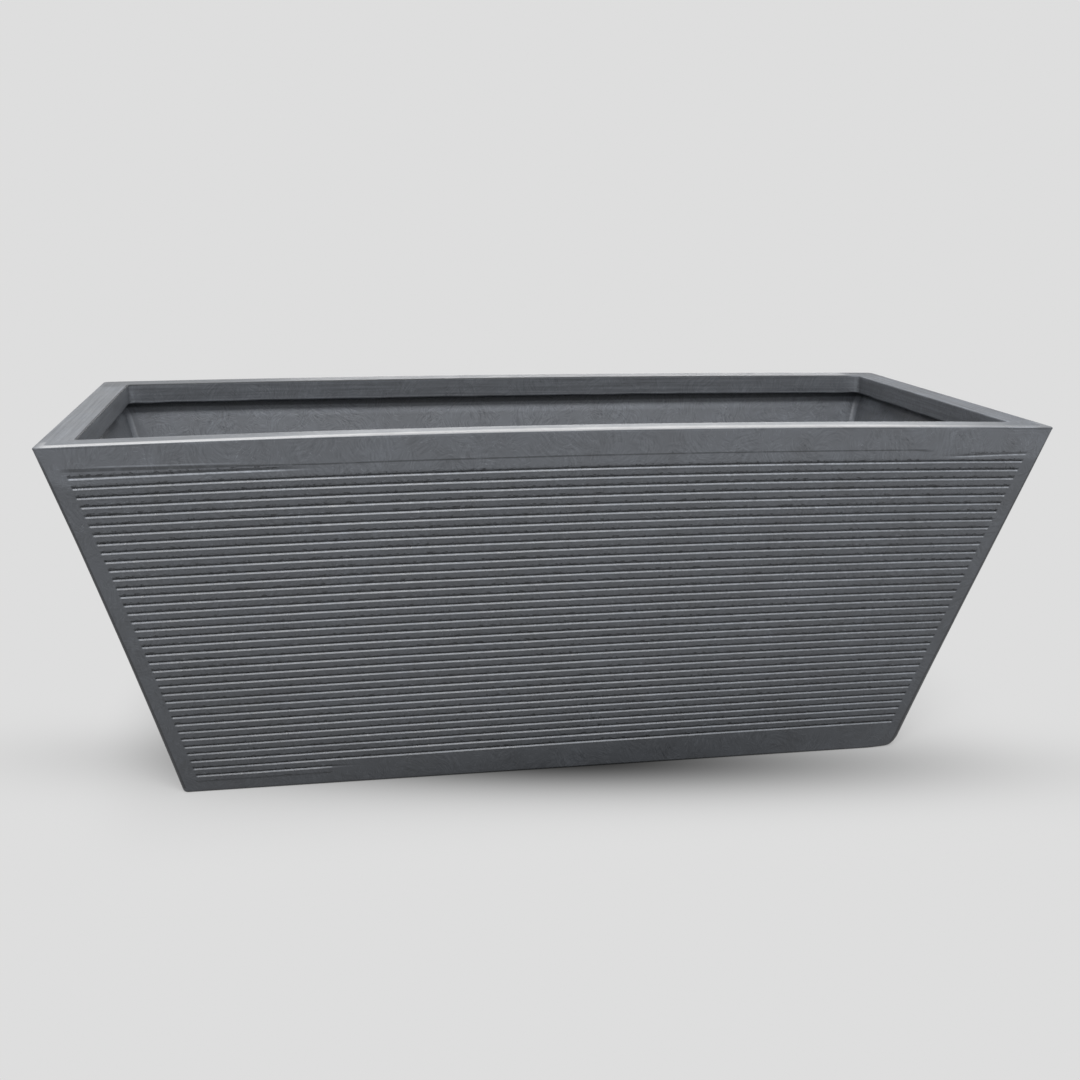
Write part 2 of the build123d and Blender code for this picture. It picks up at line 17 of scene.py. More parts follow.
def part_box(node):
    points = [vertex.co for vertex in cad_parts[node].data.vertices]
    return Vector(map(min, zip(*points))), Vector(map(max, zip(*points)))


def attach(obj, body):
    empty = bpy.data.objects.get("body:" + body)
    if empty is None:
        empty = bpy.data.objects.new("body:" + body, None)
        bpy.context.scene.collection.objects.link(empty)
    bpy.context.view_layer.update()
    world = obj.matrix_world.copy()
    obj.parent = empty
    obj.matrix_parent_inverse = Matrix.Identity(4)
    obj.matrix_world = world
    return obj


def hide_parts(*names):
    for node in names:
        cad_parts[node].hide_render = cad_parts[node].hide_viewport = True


bl_info = {
    "name": "Self-watering planter",
    "version": (1, 0, 0),
    "blender": (4, 5, 0),
    "location": "3D View > Sidebar > Planter",
    "description": "Builds a ribbed self-watering trough planter with its water insert and fittings",
    "category": "Object",
}

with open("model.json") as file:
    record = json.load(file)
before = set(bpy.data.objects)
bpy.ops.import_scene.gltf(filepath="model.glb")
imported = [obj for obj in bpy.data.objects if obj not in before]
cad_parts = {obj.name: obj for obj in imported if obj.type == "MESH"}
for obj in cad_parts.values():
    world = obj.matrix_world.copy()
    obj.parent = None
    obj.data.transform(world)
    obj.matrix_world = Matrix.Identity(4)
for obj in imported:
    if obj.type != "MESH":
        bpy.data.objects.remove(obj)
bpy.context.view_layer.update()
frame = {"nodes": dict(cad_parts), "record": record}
MM = 0.001
VIEWPORT_GREY = (0.3, 0.3, 0.3, 1.0)

# a crease's root, for the mesh, the ribbing and the finish: how far below the middle, and half its width
CREASE_ROOT = 0.20 * MM
ROOT_FLAT = 0.16 * MM


# ------------------------------------------------------------------ node helpers


def by_math(operation, turned=False):
    """A method that adds one Math node to a value and what stands beside it."""

    def method(value, other=None):
        pair = (other, value) if turned else (value, other)
        return value.maker.math(operation, *pair)

    return method


class Value:
    """A node's output that takes part in plain arithmetic; each operation adds a node."""

    def __init__(self, maker, socket):
        self.maker = maker
        self.socket = socket

    __add__ = __radd__ = by_math("ADD")
    __mul__ = by_math("MULTIPLY")
    __sub__ = by_math("SUBTRACT")
    __rsub__ = by_math("SUBTRACT", turned=True)
    __truediv__ = by_math("DIVIDE")
    __pow__ = by_math("POWER")
    __mod__ = by_math("MODULO")
    __gt__ = by_math("GREATER_THAN")
    __lt__ = by_math("LESS_THAN")
    __abs__ = by_math("ABSOLUTE")
    __round__ = by_math("ROUND")

    def clamped(self):
        """The same value, kept between 0 and 1."""
        self.socket.node.use_clamp = True
        return self

    def near(self, other, reach):
        """One where this value lies within reach of another."""
        return self.maker.math("COMPARE", self, other, reach)

    def ramp(self, low, high, out_low=0.0, out_high=1.0, smooth=True):
        """This value moved from one range to another, held at both ends and eased between them."""
        ranges = {"Value": self, "From Min": low, "From Max": high, "To Min": out_low, "To Max": out_high}
        easing = "SMOOTHSTEP" if smooth else "LINEAR"
        return self.maker.read("ShaderNodeMapRange", ranges, interpolation_type=easing, clamp=True)

    def within(self, low, low_full, high_full, high, smooth=True):
        """One between the two inner places, falling to nothing at the outer two."""
        return self.ramp(low, low_full, smooth=smooth) * self.ramp(high, high_full, smooth=smooth)

    def split(self):
        """The three components of a vector or a colour."""
        node = self.maker.add("ShaderNodeSeparateXYZ", {0: self})
        return [Value(self.maker, socket) for socket in node.outputs]


class NodeMaker:
    """Adds nodes to one tree and links them in short calls."""

    def __init__(self, tree):
        self.tree = tree

    def put(self, socket, value):
        """Links an input to a value or sets it to a constant; None leaves it alone."""
        if isinstance(value, Value):
            self.tree.links.new(value.socket, socket)
        elif value is not None:
            socket.default_value = value

    def add(self, kind, inputs=(), **settings):
        """A new node, its settings set and its inputs put by name or number."""
        node = self.tree.nodes.new(kind)
        for name, value in settings.items():
            setattr(node, name, value)
        for key, value in dict(inputs).items():
            self.put(node.inputs[key], value)
        return node

    def read(self, kind, inputs=(), output=0, **settings):
        """One output of a new node."""
        return Value(self, self.add(kind, inputs, **settings).outputs[output])

    def math(self, operation, *values):
        return self.read("ShaderNodeMath", enumerate(values), operation=operation)

    def vector(self, operation, *values):
        output = "Value" if operation in ("LENGTH", "DOT_PRODUCT") else 0
        return self.read("ShaderNodeVectorMath", enumerate(values), output, operation=operation)

    def scale(self, vector, factor):
        return self.read("ShaderNodeVectorMath", {0: vector, "Scale": factor}, operation="SCALE")

    def combine(self, *values):
        return self.read("ShaderNodeCombineXYZ", enumerate(values))

    def mix(self, factor, a, b):
        return self.read("ShaderNodeMix", {0: factor, 2: a, 3: b}, data_type="FLOAT")

    def mix_colour(self, factor, a, b):
        return self.read("ShaderNodeMix", {0: factor, 6: a, 7: b}, 2, data_type="RGBA")

    def noise(self, vector, scale, detail=3.0, roughness=0.55, distortion=0.0):
        values = {"Vector": vector, "Scale": scale, "Detail": detail, "Roughness": roughness}
        return self.read("ShaderNodeTexNoise", {**values, "Distortion": distortion})


def cleared(owner):
    """The emptied node tree of a material or a world."""
    owner.use_nodes = True
    owner.node_tree.nodes.clear()
    return owner.node_tree


class Finish(NodeMaker):
    """A material with a Principled shader, made on the piece's own coordinates."""

    def __init__(self, name):
        self.material = bpy.data.materials.new(name)
        self.material.diffuse_color = VIEWPORT_GREY
        super().__init__(cleared(self.material))
        self.shader = self.add("ShaderNodeBsdfPrincipled")
        self.add("ShaderNodeOutputMaterial", {0: Value(self, self.shader.outputs[0])})
        self.place = self.read("ShaderNodeTexCoord", output="Object")

    def grain(self, scale, detail=3.0, roughness=0.55, distortion=0.0):
        """Noise on the piece's own coordinates."""
        return self.noise(self.place, scale, detail, roughness, distortion)

    def done(self, base_colour, roughness, *bumps):
        """Puts the colour, the roughness and the bumps, each a height and its depth in millimetres."""
        normal = None
        for height, depth in bumps:
            relief = {"Height": height, "Distance": depth * MM, "Strength": 1.0, "Normal": normal}
            normal = self.read("ShaderNodeBump", relief)
        for name, value in (("Base Color", base_colour), ("Roughness", roughness), ("Normal", normal)):
            self.put(self.shader.inputs[name], value)
        return self.material


class GeometryTree(NodeMaker):
    """A Geometry Nodes tree with named inputs: numbers, others by their kind, and a material."""

    def __init__(self, name, numbers, others=()):
        super().__init__(bpy.data.node_groups.new(name, "GeometryNodeTree"))
        kinds = {"Geometry": "Geometry", **dict.fromkeys(numbers, "Float"), **dict(others)}
        kinds["Material"] = "Material"
        for label, kind in kinds.items():
            self.tree.interface.new_socket(label, in_out="INPUT", socket_type="NodeSocket" + kind)
        self.tree.interface.new_socket("Geometry", in_out="OUTPUT", socket_type="NodeSocketGeometry")
        given = self.add("NodeGroupInput").outputs
        self.get = {label: Value(self, given[label]) for label in kinds}

    def stored(self, name, kind="FLOAT"):
        """A value stored on the points."""
        node = self.add("GeometryNodeInputNamedAttribute", {"Name": name}, data_type=kind)
        return Value(self, next(s for s in node.outputs if s.enabled and s.name == "Attribute"))

    def done(self, geometry):
        """Ends the tree in Realize Instances and Set Material."""
        realised = self.read("GeometryNodeRealizeInstances", {0: geometry})
        look = {"Geometry": realised, "Material": self.get["Material"]}
        self.add("NodeGroupOutput", {0: self.read("GeometryNodeSetMaterial", look)})
        return self.tree


def colour(rgb):
    """A four-number colour from three."""
    return (*rgb[:3], 1.0)


# ------------------------------------------------------------------ finishes


def streak_layer(maker, skin, cells, lines, bend, turn):
    """Fanned brush marks, straight lines turned and bent at random in each cell, and the cells' mask."""
    warp = maker.noise(skin, cells * 0.6, 2.0)
    shifted = maker.vector("ADD", skin, maker.combine(warp * (0.6 / cells), turn, 0.0))
    inputs = {"Vector": shifted, "Scale": cells, "Randomness": 1.0}
    cell = maker.add("ShaderNodeTexVoronoi", inputs, voronoi_dimensions="2D", feature="F1").outputs
    red, green, _ = Value(maker, cell["Color"]).split()
    local = maker.vector("SUBTRACT", shifted, Value(maker, cell["Position"]))
    spin = {"Vector": local, "Angle": red * math.tau}
    along, across, _ = maker.read("ShaderNodeVectorRotate", spin, rotation_type="Z_AXIS").split()
    across += along * along * bend
    stroke = maker.combine(along * (lines * 0.17), across * lines, green * 50.0)
    return maker.noise(stroke, 1.0, 2.0, 0.5), Value(maker, cell["Distance"]).ramp(0.25, 0.62, 1.0, 0.0)


def charcoal_shell_finish(settings):
    """Rotationally moulded charcoal plastic: brush marks, cloudy tone, edge wear, nicks, and painted light
    and shade.
    """
    maker = Finish("charcoal_moulded_shell")
    skin = maker.read("ShaderNodeUVMap", uv_map="skin")
    drop, press, wear_and_highlight, inside, edge, brow = (
        maker.read("ShaderNodeAttribute", output="Fac", attribute_name=name)
        for name in ("drop", "press", "wear_and_highlight", "inside", "edge", "brow")
    )
    u, v, _ = skin.split()
    x, y, height = maker.place.split()

    broad = maker.grain(4.5, 2.0)
    cloud = maker.grain(34.0, 4.0, 0.6)
    fans = ((52.0, 700.0, 30.0, 0.0), (84.0, 950.0, -44.0, 3.7), (33.0, 540.0, 18.0, 8.3))
    marks = [streak_layer(maker, skin, *fan) for fan in fans]
    streak = sum((mark - 0.5) * mask for mark, mask in marks)
    fine_mark, fine_mask = streak_layer(maker, skin, 31.0, 1300.0, 12.0, 5.1)
    scratch = fine_mark.ramp(0.63, 0.7) * fine_mask

    # place across one crease in millimetres: below zero on the flank above its root, over zero on the ledge
    line = (drop - settings.rib_top) / settings.rib_pitch
    index = round(line)
    offset = (line - index) * (settings.rib_pitch / MM)
    half = settings.rib_width / 2 / MM
    root = CREASE_ROOT / MM
    upper = offset.within(-half - 0.7, -half + 0.2, root - 0.1, root + 0.35)
    ledge = offset.within(root + 0.1, root + 0.45, half - 0.45, half + 0.15)
    between = abs(offset).ramp(half, half + 1.9)
    part_way = index > settings.rib_count - 0.5
    gate = maker.mix(part_way, 1.0, x.ramp(settings.low_end, settings.low_end - 0.0008))
    strength = press.ramp(0.0, 0.75) * gate

    # even tone: cloudy, brushed, scratched and paler on the plain bands; painted shade makes it darker
    # towards the foot and so paler towards the rim, and painted light makes it paler towards the right and
    # on the inside
    tone = (broad - 0.5) * 0.3 + 1.0
    tone += (cloud - 0.5) * 0.3
    tone += streak * (inside * 0.9 + 1.0) * settings.streak_strength
    tone += scratch * 0.42
    tone *= height.ramp(0.0, settings.height, 0.8, 1.07, smooth=False)
    tone *= x.ramp(-0.1, 0.4, 1.0, 1.07)
    tone *= drop.ramp(0.031, 0.025) * (drop > 0.0) * 0.32 + 1.0
    # painted light: paler on the inner surfaces and, less, on the lip
    tone += inside * 0.46

    # inside: painted highlights down the inner corners, and painted light in a band under the back lip
    tone += edge.ramp(0.0045, 0.0) * inside * 0.55
    painted_light_under_lip = height.within(0.277, 0.2845, 0.2875, 0.2898) * inside * y.ramp(0.1, 0.13)
    tone *= painted_light_under_lip * 1.05 + 1.0

    # the rim is brushed along its length; a painted sheen makes its top paler, weaker at the right end and
    # left off at the back, and its edges are paler with wear and a painted highlight
    on_rim = (drop < 0.0) * height.ramp(0.285, 0.29) * (1.0 - inside).clamped()
    groom = (maker.noise(maker.combine(u * 11.0, v * 430.0), 1.0, 3.0, 0.6) - 0.5) * on_rim
    tone *= groom * 1.5 + 1.0
    # the right end of the rim: a little painted sheen of its own, and rougher
    right_end = on_rim * x.ramp(0.36, 0.38)
    tone *= right_end * y.ramp(-0.12, 0.12, 0.12, 0.1) + 1.0
    painted_rim_sheen = x.ramp(0.365, 0.32, 0.25, 1.0) * y.ramp(0.15, 0.135)
    tone *= painted_rim_sheen * on_rim * 0.44 + 1.0
    # painted shade darkens the lip's face, away from the ends
    lip = abs(inside - 0.3).ramp(0.2, 0.05) * abs(x).ramp(0.372, 0.36)
    tone *= lip * -0.14 + 1.0
    # edge wear and a painted highlight on the rim's rounded edges, broken up by a noise
    rub = maker.noise(maker.combine(u * 45.0, v), 1.0, 3.0, 0.6)
    wear_and_highlight_tone = wear_and_highlight * rub.ramp(0.3, 0.65, 0.55, 1.0) * y.ramp(0.176, 0.17)
    wear_and_highlight_tone *= x.ramp(-0.375, -0.36, 0.15, 1.0) * x.ramp(0.396, 0.386, -0.3, 1.0)
    tone += wear_and_highlight_tone * settings.edge_wear_and_highlight

    # painted shade darkens the inner edge of the rim, but for the right end
    painted_shade_inner_edge = wear_and_highlight.ramp(0.2, 0.4) * brow.ramp(0.3, 0.0) * x.ramp(0.374, 0.365)
    tone *= painted_shade_inner_edge * -0.6 + 1.0

    # along the front edge of the rim a painted highlight over a dark line of painted shade, wider towards
    # the middle
    front = y.ramp(-0.157, -0.165)
    start = abs(x - 0.07).ramp(0.1, 0.32, 0.3, 0.6)
    ends = x.ramp(-0.405, -0.395, 0.1, 0.95) * x.ramp(0.37, 0.27, 0.3, 1.0)
    pale = brow.ramp(start, start + 0.16) * front * ends * rub.ramp(0.25, 0.6, 0.88, 1.0)
    tone *= maker.math("MAXIMUM", brow * -1.0, 0.0) * front * -0.26 + 1.0

    # painted shade darkens the rounded upright corners and the foot edge
    upright = edge.ramp(0.0022, 0.0) * drop.ramp(0.004, 0.02)
    tone *= maker.math("MAXIMUM", upright, height.ramp(0.003, 0.0008)) * -0.5 + 1.0

    # creases: painted shade on the flats beside them and on the upper flank, deeper downwards, and a
    # painted highlight on the ledge
    tone *= strength * (between * 0.12 - 0.12) + 1.0
    tone *= upper * strength * height.ramp(0.02, 0.26, -0.54, -0.24, smooth=False) + 1.0
    dust_and_highlight = maker.noise(maker.combine(u * 140.0, index), 1.0, 3.0).ramp(0.3, 0.7, 0.68, 1.15)
    dust_and_highlight *= ledge * press.ramp(0.0, 0.7) * gate
    dust_and_highlight *= x.ramp(-0.37, -0.15, 0.78, 1.0) * x.ramp(0.22, 0.37, 1.0, 0.75)
    tone *= dust_and_highlight * settings.ledge_highlight + 1.0

    # a dark hairline where the plain band ends, lower and broader at the left under a pale one
    below = drop - x.ramp(-0.385, -0.2, 0.0174, 0.0201, smooth=False)
    face = y < -0.1
    broad_end = x.ramp(-0.24, -0.3)
    broken = maker.noise(maker.combine(u * 70.0), 1.0, 2.0).ramp(0.3, 0.5, 0.45, 1.0)
    hairline = (abs(below) - broad_end * 0.0005).ramp(0.0008, 0.0003) * broken * face
    hairline *= x.within(-0.392, -0.38, 0.29, 0.308)
    tone *= hairline * -0.5 + 1.0
    over = abs(below + 0.0019).ramp(0.0007, 0.0002) * broad_end * face * broken
    tone += over * x.ramp(-0.376, -0.35) * 0.8

    # mottled flats, dark dashes just over each ledge, and a few small pale burrs
    mottle = (maker.noise(maker.combine(u * 300.0, v * 900.0), 1.0, 2.0, 0.6) - 0.5) * strength
    tone *= mottle * 0.46 + 1.0
    chip = maker.noise(maker.combine(u * 250.0, index * 9.13, v * 620.0), 1.0, 2.5, 0.65)
    band = offset.within(-half - 1.3, -half - 0.4, root - 0.2, root + 0.3)
    nick = chip.ramp(0.545, 0.6) * band * strength
    flat = offset.within(-half - 2.2, -half - 1.4, -half - 0.3, -half + 0.2)
    tone *= nick * -0.5 + 1.0
    tone += chip.ramp(0.345, 0.3) * flat * strength * 0.8

    cool = maker.mix_colour(cloud, colour(settings.shell_colour), colour(settings.shell_tint))
    # the colour of the painted highlight, paler towards the left end
    painted_highlight_colour = maker.scale(tuple(settings.rim_line), x.ramp(-0.12, -0.26, 1.0, 1.55))
    shade = maker.mix_colour(pale, maker.scale(cool, tone), painted_highlight_colour)

    relief_share = 1.0 - maker.math("MAXIMUM", pale, on_rim * 0.75)
    brushed = streak * relief_share
    rough = (cloud - 0.5) * 0.22 + settings.shell_roughness
    rough += brushed * 0.35 + wear_and_highlight * -0.06 + painted_shade_inner_edge * 0.25 + right_end * 0.28
    rough = (rough + upper * strength * 0.2).clamped()
    maker.shader.inputs["Specular IOR Level"].default_value = 0.42

    peel = maker.grain(170.0, 3.0, 0.5) * relief_share
    grain = maker.grain(1500.0, 2.0, 0.6)
    return maker.done(shade, rough, (peel, 0.2), (brushed, 0.2), (grain, 0.03), (nick * -1.0, 0.5))


def moulded_finish(name, base, roughness, grain, flow, dust_and_highlight, grain_depth=0.04):
    """Injection-moulded plastic: fine spark grain, faint flow marks and a little settled dust."""
    maker = Finish(name)
    facing = maker.read("ShaderNodeNewGeometry", output="Normal")
    drift = maker.grain(flow, 3.0, 0.5, 1.6)
    cloud = maker.grain(flow * 9.0, 4.0, 0.6)
    fine = maker.grain(grain, 3.0, 0.65)
    tone = (drift - 0.5) * 0.35 + (cloud - 0.5) * 0.22 + (fine - 0.5) * 0.18 + 1.0
    settled = facing.split()[2].ramp(0.5, 0.95) * cloud.ramp(0.42, 0.72) * dust_and_highlight
    shade = maker.mix_colour(settled, maker.scale(base, tone), (0.42, 0.4, 0.36, 1.0))
    rough = ((cloud - 0.5) * 0.25 + roughness + settled * 0.5).clamped()
    return maker.done(shade, rough, (fine, grain_depth), (drift, 0.2))


def drawn_tube_finish(name, base):
    """Extruded plastic tube: long draw lines down its length over a soft cloudy tone."""
    maker = Finish(name)
    squeeze = {"Vector": maker.place, "Scale": (1.0, 1.0, 0.012)}
    lines = maker.noise(maker.read("ShaderNodeMapping", squeeze), 1400.0, 3.0, 0.6)
    cloud = maker.grain(60.0, 3.0, 0.55)
    tone = (lines - 0.5) * 0.35 + (cloud - 0.5) * 0.3 + 1.0
    return maker.done(maker.scale(base, tone), (cloud - 0.5) * 0.2 + 0.38, (lines, 0.08))


def clear_window_finish(name, base):
    """Clear moulded plastic with a faint haze and fine rubbed scratches."""
    maker = Finish(name)
    haze = maker.grain(90.0, 3.0, 0.6)
    rub = maker.noise(maker.vector("MULTIPLY", maker.place, (900.0, 900.0, 60.0)), 1.0, 2.0, 0.5)
    maker.shader.inputs["Transmission Weight"].default_value = 1.0
    maker.shader.inputs["IOR"].default_value = 1.49
    tint = maker.mix_colour(haze, colour(base), colour([channel * 0.93 for channel in base]))
    return maker.done(tint, (haze + rub * 0.5).ramp(0.4, 1.0, 0.04, 0.16), (rub, 0.01))


def foam_finish(name, base):
    """Pale closed-cell foam: small round cells, slightly yellowed in patches."""
    maker = Finish(name)
    cells = {"Vector": maker.place, "Scale": 900.0}
    depth = maker.read("ShaderNodeTexVoronoi", cells, "Distance", feature="SMOOTH_F1")
    yellowed = [channel * share for channel, share in zip(base, (0.9, 0.84, 0.72))]
    shade = maker.mix_colour(maker.grain(70.0), colour(base), colour(yellowed))
    return maker.done(maker.scale(shade, depth.ramp(0.0, 0.5, 1.04, 0.86)), 0.85, (depth, 0.3))


def drawn_wire_finish(name, base):
    """Drawn stainless wire: bright, with fine lines along its length."""
    maker = Finish(name)
    lines = maker.noise(maker.vector("MULTIPLY", maker.place, (120.0, 5200.0, 5200.0)), 1.0, 3.0, 0.6)
    maker.shader.inputs["Metallic"].default_value = 1.0
    shade = maker.scale(base, lines.ramp(0.3, 0.7, 0.85, 1.08))
    return maker.done(shade, lines.ramp(0.3, 0.7, 0.22, 0.4), (lines, 0.02))


def rubber_finish(name, base):
    """Matt black rubber with a dusty bloom."""
    maker = Finish(name)
    bloom = maker.grain(160.0, 4.0, 0.65)
    grain = maker.grain(2200.0, 2.0)
    dusted = bloom.ramp(0.5, 0.75, 0.0, 0.3)
    shade = maker.mix_colour(dusted, colour(base), (0.16, 0.155, 0.145, 1.0))
    return maker.done(shade, bloom.ramp(0.3, 0.7, 0.7, 0.92), (grain, 0.04))


# by material slot: the function that makes the finish, its name and the numbers that function takes
FINISHES = {
    "platform_plastic": (moulded_finish, "recycled_platform_plastic", 0.52, 950.0, 11.0, 0.16),
    "cup_plastic": (moulded_finish, "moulded_cup_plastic", 0.44, 1100.0, 18.0, 0.10),
    "tube_plastic": (drawn_tube_finish, "drawn_tube_plastic"),
    "lid_plastic": (moulded_finish, "blue_lid_plastic", 0.34, 1300.0, 22.0, 0.06, 0.02),
    "clear_window": (clear_window_finish, "clear_window_plastic"),
    "float_foam": (foam_finish, "closed_cell_foam"),
    "flag_plastic": (moulded_finish, "red_flag_plastic", 0.22, 1500.0, 30.0, 0.03, 0.01),
    "pin_metal": (drawn_wire_finish, "drawn_stainless_wire"),
    "gasket_rubber": (rubber_finish, "black_gasket_rubber"),
    "fitting_plastic": (moulded_finish, "glass_filled_fitting_plastic", 0.40, 1900.0, 26.0, 0.08, 0.06),
}


def finish_of(slot):
    """The finish of a material slot, made once."""
    make, name, *numbers = FINISHES[slot]
    made = bpy.data.materials.get(name)
    if made is None:
        base = next(entry for entry in frame["record"]["materials"] if entry["slot"] == slot)["base_color"]
        made = make(name, tuple(base[:3]), *numbers)
    return made


# ------------------------------------------------------------------ mesh helpers

# in copies of frame nodes: how close corners are one, how flat to each other faces are one, and from
# which angle on an edge is rounded
SAME_CORNER = 0.002 * MM
SAME_FACE = math.radians(0.5)
SHARP_EDGE = math.radians(32.0)

# height from which a ray looks down for a surface
PROBE_HEIGHT = 2.0


def linked(name, data):
    """An object in the scene that holds some data."""
    piece = bpy.data.objects.new(name, data)
    bpy.context.scene.collection.objects.link(piece)
    return piece


def mesh_object(name, vertices, faces):
    """An object in the scene from lists of points and faces."""
    mesh = bpy.data.meshes.new(name)
    mesh.from_pydata(vertices, [], faces)
    mesh.validate()
    return linked(name, mesh)


def from_work(name, work):
    """An object in the scene that holds what was worked on, which is set free."""
    mesh = bpy.data.meshes.new(name)
    work.to_mesh(mesh)
    work.free()
    return linked(name, mesh)


def baked(piece, name):
    """The evaluated piece as a plain mesh object; the source piece is removed."""
    bpy.context.view_layer.update()
    graph = bpy.context.evaluated_depsgraph_get()
    evaluated = piece.evaluated_get(graph)
    mesh = bpy.data.meshes.new_from_object(evaluated, preserve_all_data_layers=True, depsgraph=graph)
    bpy.data.objects.remove(piece)
    mesh.name = name
    return linked(name, mesh)


def shaded(piece, name, angle, weight=80):
    """Smooth shading that stops at edges sharper than the angle in degrees, weighted by area."""
    for polygon in piece.data.polygons:
        polygon.use_smooth = True
    piece.data.set_sharp_from_angle(angle=math.radians(angle))
    shading = piece.modifiers.new("shading", "WEIGHTED_NORMAL")
    shading.weight = weight
    shading.keep_sharp = True
    return baked(piece, name)


def rounded(piece, width):
    """A bevel over the piece's sharp edges."""
    bevel = piece.modifiers.new("edges", "BEVEL")
    bevel.width = width
    bevel.segments = 2
    bevel.limit_method = "ANGLE"
    return bevel


def one_material(mesh, material):
    """Gives a mesh one material on all its faces."""
    mesh.materials.clear()
    mesh.materials.append(material)
    for polygon in mesh.polygons:
        polygon.material_index = 0


def body_of_node(node):
    """The frame's body that a node rides on."""
    bodies = frame["record"]["behaviour"]["bodies"]
    return next(body for body, members in bodies.items() if node in members)


def slot_of_node(node):
    """The record's material slot of a node."""
    return next(entry for entry in frame["record"]["subparts"] if entry["node"] == node)["material_slot"]


def stands_for(piece, node):
    """Hands a finished piece to the frame in place of one node."""
    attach(piece, body_of_node(node))
    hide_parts(node)


def finished_copy(node, round_over):
    """A copy of a frame node with merged corners, rounded edges and area-weighted shading."""
    work = bmesh.new()
    work.from_mesh(frame["nodes"][node].data)
    bmesh.ops.remove_doubles(work, verts=work.verts, dist=SAME_CORNER)
    bmesh.ops.dissolve_limit(work, angle_limit=SAME_FACE, verts=work.verts, edges=work.edges)
    piece = from_work(node + "_work", work)
    mesh = piece.data
    one_material(mesh, finish_of(slot_of_node(node)))
    if "custom_normal" in mesh.attributes:
        mesh.attributes.remove(mesh.attributes["custom_normal"])
    for polygon in mesh.polygons:
        polygon.use_smooth = True
    bevel = rounded(piece, round_over)
    bevel.angle_limit = SHARP_EDGE
    bevel.use_clamp_overlap = True
    piece.modifiers.new("shading", "WEIGHTED_NORMAL").weight = 60
    stands_for(baked(piece, node + "_finished"), node)


def finish_nodes(nodes, round_over):
    """Finished copies of several nodes, each in its own slot's finish."""
    for node in nodes:
        if node not in frame["nodes"]:
            raise RuntimeError("the frame has no node called " + node)
        finished_copy(node, round_over)


def nodes_called(start):
    """The frame's nodes whose names start alike."""
    return [node for node in sorted(frame["nodes"]) if node.startswith(start)]


def top_of(node, x, y):
    """Height of a node's upper surface at one place."""
    mesh = frame["nodes"][node].data
    tree = BVHTree.FromPolygons([v.co for v in mesh.vertices], [p.vertices[:] for p in mesh.polygons])
    hit = tree.ray_cast(Vector((x, y, PROBE_HEIGHT)), Vector((0.0, 0.0, -1.0)))[0]
    if hit is None:
        raise RuntimeError("nothing of " + node + " lies there")
    return hit.z


def upright(node):
    """Where a round node stands and how wide it is: x, y and radius."""
    low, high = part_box(node)
    return (low.x + high.x) / 2, (low.y + high.y) / 2, (high.x - low.x) / 2


def add_tree(piece, tree, values):
    """Puts a tree on a piece and sets its inputs by identifier."""
    modifier = piece.modifiers.new(tree.name, "NODES")
    modifier.node_group = tree
    for item in tree.interface.items_tree:
        if item.item_type == "SOCKET" and item.in_out == "INPUT" and item.name in values:
            modifier[item.identifier] = values[item.name]


def grown(tree, values, name, body, slot, round_over=0.0):
    """Runs a tree on an empty host and hands the plain mesh to a body and a slot."""
    host = linked(name + "_host", bpy.data.meshes.new(name + "_host"))
    add_tree(host, tree, {**values, "Material": finish_of(slot)})
    if round_over:
        rounded(host, round_over)
    piece = baked(host, name)
    if not piece.data.polygons:
        raise RuntimeError(name + " came out empty")
    piece = shaded(piece, name + "_set", 35.0, 50)
    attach(piece, body)


# ------------------------------------------------------------------ trees for small repeated pieces

RING_SIDES = 72
BEAD_SIDES = 10
STUD_SIDES = 10

# the ray that finds out whether the deck carries a stud: where it starts, how far it reaches, and how
# close to the deck's level it has to hit
STUD_RAY_START = 1.0
STUD_RAY_REACH = 2.0
STUD_LEVEL_FIT = 0.2 * MM


def ring_of_bars_tree():
    """Small bars set like spokes round an upright axis."""
    numbers = ("Ring radius", "Bar length", "Bar width", "Bar height")
    maker = GeometryTree("ring_of_bars", numbers, {"Count": "Int", "Centre": "Vector"})
    count, radius, *sides = (maker.get[name] for name in ("Count", *numbers))
    ring = maker.read("GeometryNodeMeshCircle", {"Vertices": count, "Radius": radius})
    bar = maker.read("GeometryNodeMeshCube", {"Size": maker.combine(*sides)})
    turn = maker.combine(0.0, 0.0, maker.read("GeometryNodeInputIndex") * math.tau / count)
    spread = {"Points": ring, "Instance": bar, "Rotation": turn}
    bars = maker.read("GeometryNodeInstanceOnPoints", spread)
    moved = {"Geometry": bars, "Translation": maker.get["Centre"]}
    return maker.done(maker.read("GeometryNodeTransform", moved))


def bead_stack_tree():
    """Round beads stacked at an even spacing round an upright tube."""
    numbers = ("Spacing", "Tube radius", "Bead radius")
    maker = GeometryTree("bead_stack", numbers, {"Count": "Int", "First bead": "Vector"})
    spacing, tube, thickness = (maker.get[name] for name in numbers)
    rise = maker.combine(0.0, 0.0, spacing)
    line = {"Count": maker.get["Count"], "Start Location": maker.get["First bead"], "Offset": rise}
    stack = maker.read("GeometryNodeMeshLine", line)
    circle = "GeometryNodeCurvePrimitiveCircle"
    ring = maker.read(circle, {"Resolution": RING_SIDES, "Radius": tube})
    profile = maker.read(circle, {"Resolution": BEAD_SIDES, "Radius": thickness})
    bead = maker.read("GeometryNodeCurveToMesh", {"Curve": ring, "Profile Curve": profile})
    return maker.done(maker.read("GeometryNodeInstanceOnPoints", {"Points": stack, "Instance": bead}))


